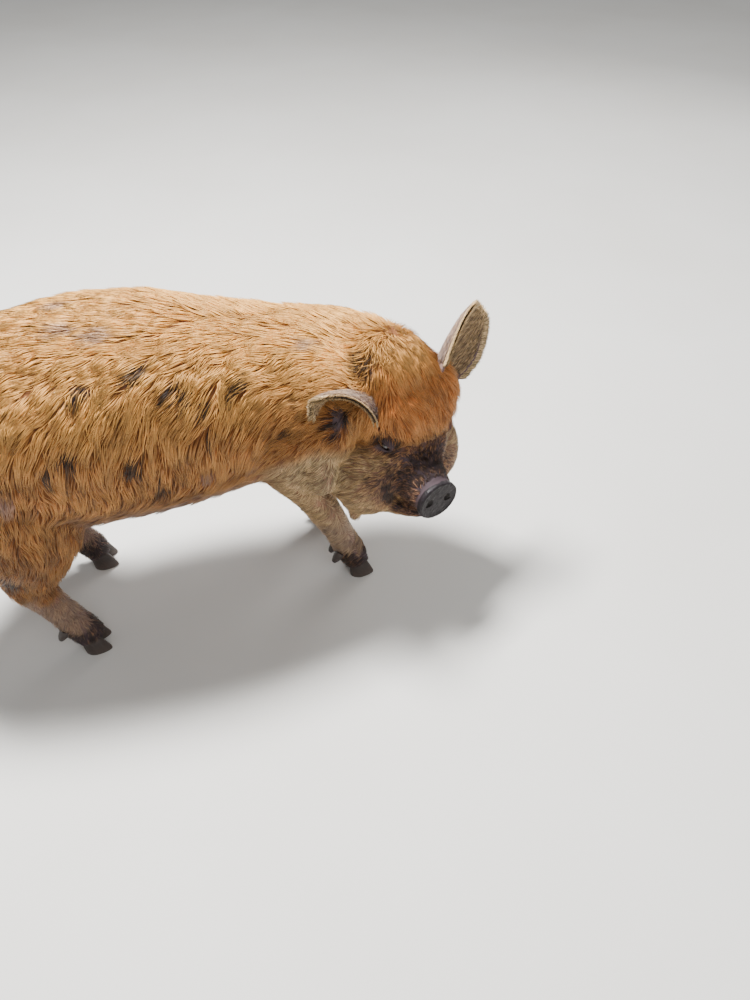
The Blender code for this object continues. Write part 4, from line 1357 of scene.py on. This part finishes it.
class PIG_OT_ear_hair(bpy.types.Operator):
    """Sow the hair on the ears: down their length, with a fringe at the rim"""
    bl_idname = "pig.ear_hair"
    bl_label = "Ear hair"

    def execute(self, context):
        dice = np.random.default_rng(SEED + 2)
        count = EAR_TUFTS // 1
        for name in EARS:
            ear = Ear(name)
            rim = dice.random(count) < 0.44
            u = dice.uniform(EAR_SUNK * 0.8, 0.97, count)
            v = np.where(rim, np.sign(dice.random(count) - 0.5) * dice.uniform(0.93, 1.0, count),
                         dice.uniform(-1, 1, count))
            tip = dice.random(count) < 0.06
            u = np.where(tip, dice.uniform(0.93, 0.985, count), u)
            along, across, out = ear.frame_at(u, v)
            inner = np.where(dice.random(count) < 0.5, 1.0, -1.0)
            ups = out * inner[:, None]
            edge = np.abs(v) ** 3
            fringe = np.maximum(edge * (rim | (edge > 0.8)), smooth_step(0.88, 0.97, u))
            outward = units(across + ear.frame_at(u, v * 0)[1] * 1.6) * np.sign(v)[:, None]
            ways = along * (1 - 0.5 * fringe)[:, None]
            ways = ways + outward * (0.15 + 1.0 * fringe * (1 - smooth_step(0.8, 0.98, u)))[:, None]
            ways = ways + (dice.random((count, 3)) - 0.5) * 0.24
            ways = units(ways - ups * (ways * ups).sum(1, keepdims=True) * (1 - 0.5 * fringe)[:, None])
            long = np.where(fringe > 0.4, dice.uniform(8, 14, count), dice.uniform(10, 18, count)) * MM
            lift = dice.uniform(1.0, 3.6, count) * MM * (1 - 0.5 * fringe)
            roots = ear.at(u, v) + ups * EAR_THICK * 0.45
            middle = roots + (ways * long[:, None] * 0.5) + ups * (lift * 0.6)[:, None]
            end = roots + ways * long[:, None] + ups * lift[:, None]
            wide = dice.uniform(0.9, 1.4, count) * (1 + 0.25 * fringe) * MM
            marks = np.zeros((count, 4))
            inside = inner > 0
            marks[:, 0] = (inside & (dice.random(count) < 0.35)) * 0.40 * (1 - fringe)
            marks[:, 1] = np.where(inside, 1.0, 0.20) * (1 - fringe) * dice.uniform(0.4, 1.0, count)
            marks[:, 2] = np.clip(np.where(inside, 0.5, 0.9) + fringe, 0, 1)
            unwrap = np.stack([u * 0.97, (0.25 + 0.24 * v) + 0.5 * inside], 1)
            lock = dice.random(count)
            piece = tuft_mesh(f"hair_{name}", roots, ups, middle, ups, end, lock, wide, unwrap, marks)
            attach(piece, "root")
        return {"FINISHED"}


class PIG_OT_stage(bpy.types.Operator):
    """Lay the pale floor, hang the soft lights and set the camera"""
    bl_idname = "pig.stage"
    bl_label = "Stage"

    def execute(self, context):
        add = bpy.ops.mesh.primitive_circle_add
        floor = primitive("studio_floor", add, vertices=96, radius=FLOOR_WIDE, fill_type="NGON")
        floor.data.transform(Matrix.Translation((0, 0, -FLOOR_LOW)))
        floor.data.materials.append(finish_of("floor"))
        for name, at, aim, size, power in LIGHTS:
            light = bpy.data.lights.new(name, "AREA")
            light.size = size
            light.energy = power
            lamp = linked(name, light)
            lamp.location = at
            lamp.rotation_euler = (Vector(aim) - Vector(at)).to_track_quat("-Z", "Y").to_euler()
        world = bpy.data.worlds.new("studio")
        context.scene.world = world
        world.use_nodes = True
        sky = world.node_tree.nodes["Background"]
        plug(world.node_tree, sky, {"Color": linear(SKY), "Strength": SKY_BRIGHT})
        lens = bpy.data.cameras.new("camera")
        lens.sensor_width = FILM
        lens.lens = FILM * CAMERA_FOCUS / PHOTO_TALL
        camera = linked("camera", lens)
        camera.location = Vector((CAMERA_AT.x, CAMERA_AT.y, context.scene.pig_sizes.camera_high)) + SHIFT
        camera.rotation_euler = (math.pi / 2 - CAMERA_PITCH, 0.0, -CAMERA_HEADING)
        context.scene.camera = camera
        return {"FINISHED"}


class PIG_PT_panel(bpy.types.Panel):
    """Sidebar panel with the pig's sizes, colours and building steps"""
    bl_idname = "PIG_PT_panel"
    bl_label = "Kunekune Pig"
    bl_space_type = "VIEW_3D"
    bl_region_type = "UI"
    bl_category = "Pig"

    def draw(self, context):
        for group in (context.scene.pig_sizes, context.scene.pig_colours):
            for name in group.__annotations__:
                self.layout.prop(group, name)
        for step in STEPS:
            self.layout.operator(step)


STEPS = ("pig.skin", "pig.snout", "pig.eyes", "pig.hooves", "pig.coat", "pig.ear_hair", "pig.stage")
CLASSES = (
    PigColours, PigSizes, PIG_OT_skin, PIG_OT_snout, PIG_OT_eyes, PIG_OT_hooves, PIG_OT_coat,
    PIG_OT_ear_hair, PIG_OT_stage, PIG_PT_panel,
)


def register():
    for kind in CLASSES:
        bpy.utils.register_class(kind)
    bpy.types.Scene.pig_colours = bpy.props.PointerProperty(type=PigColours)
    bpy.types.Scene.pig_sizes = bpy.props.PointerProperty(type=PigSizes)


def unregister():
    del bpy.types.Scene.pig_sizes
    del bpy.types.Scene.pig_colours
    for kind in reversed(CLASSES):
        bpy.utils.unregister_class(kind)


def main():
    """Build everything in order."""
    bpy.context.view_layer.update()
    register()
    for step in STEPS:
        group, name = step.split(".")
        getattr(getattr(bpy.ops, group), name)()


if __name__ == "__main__":
    main()
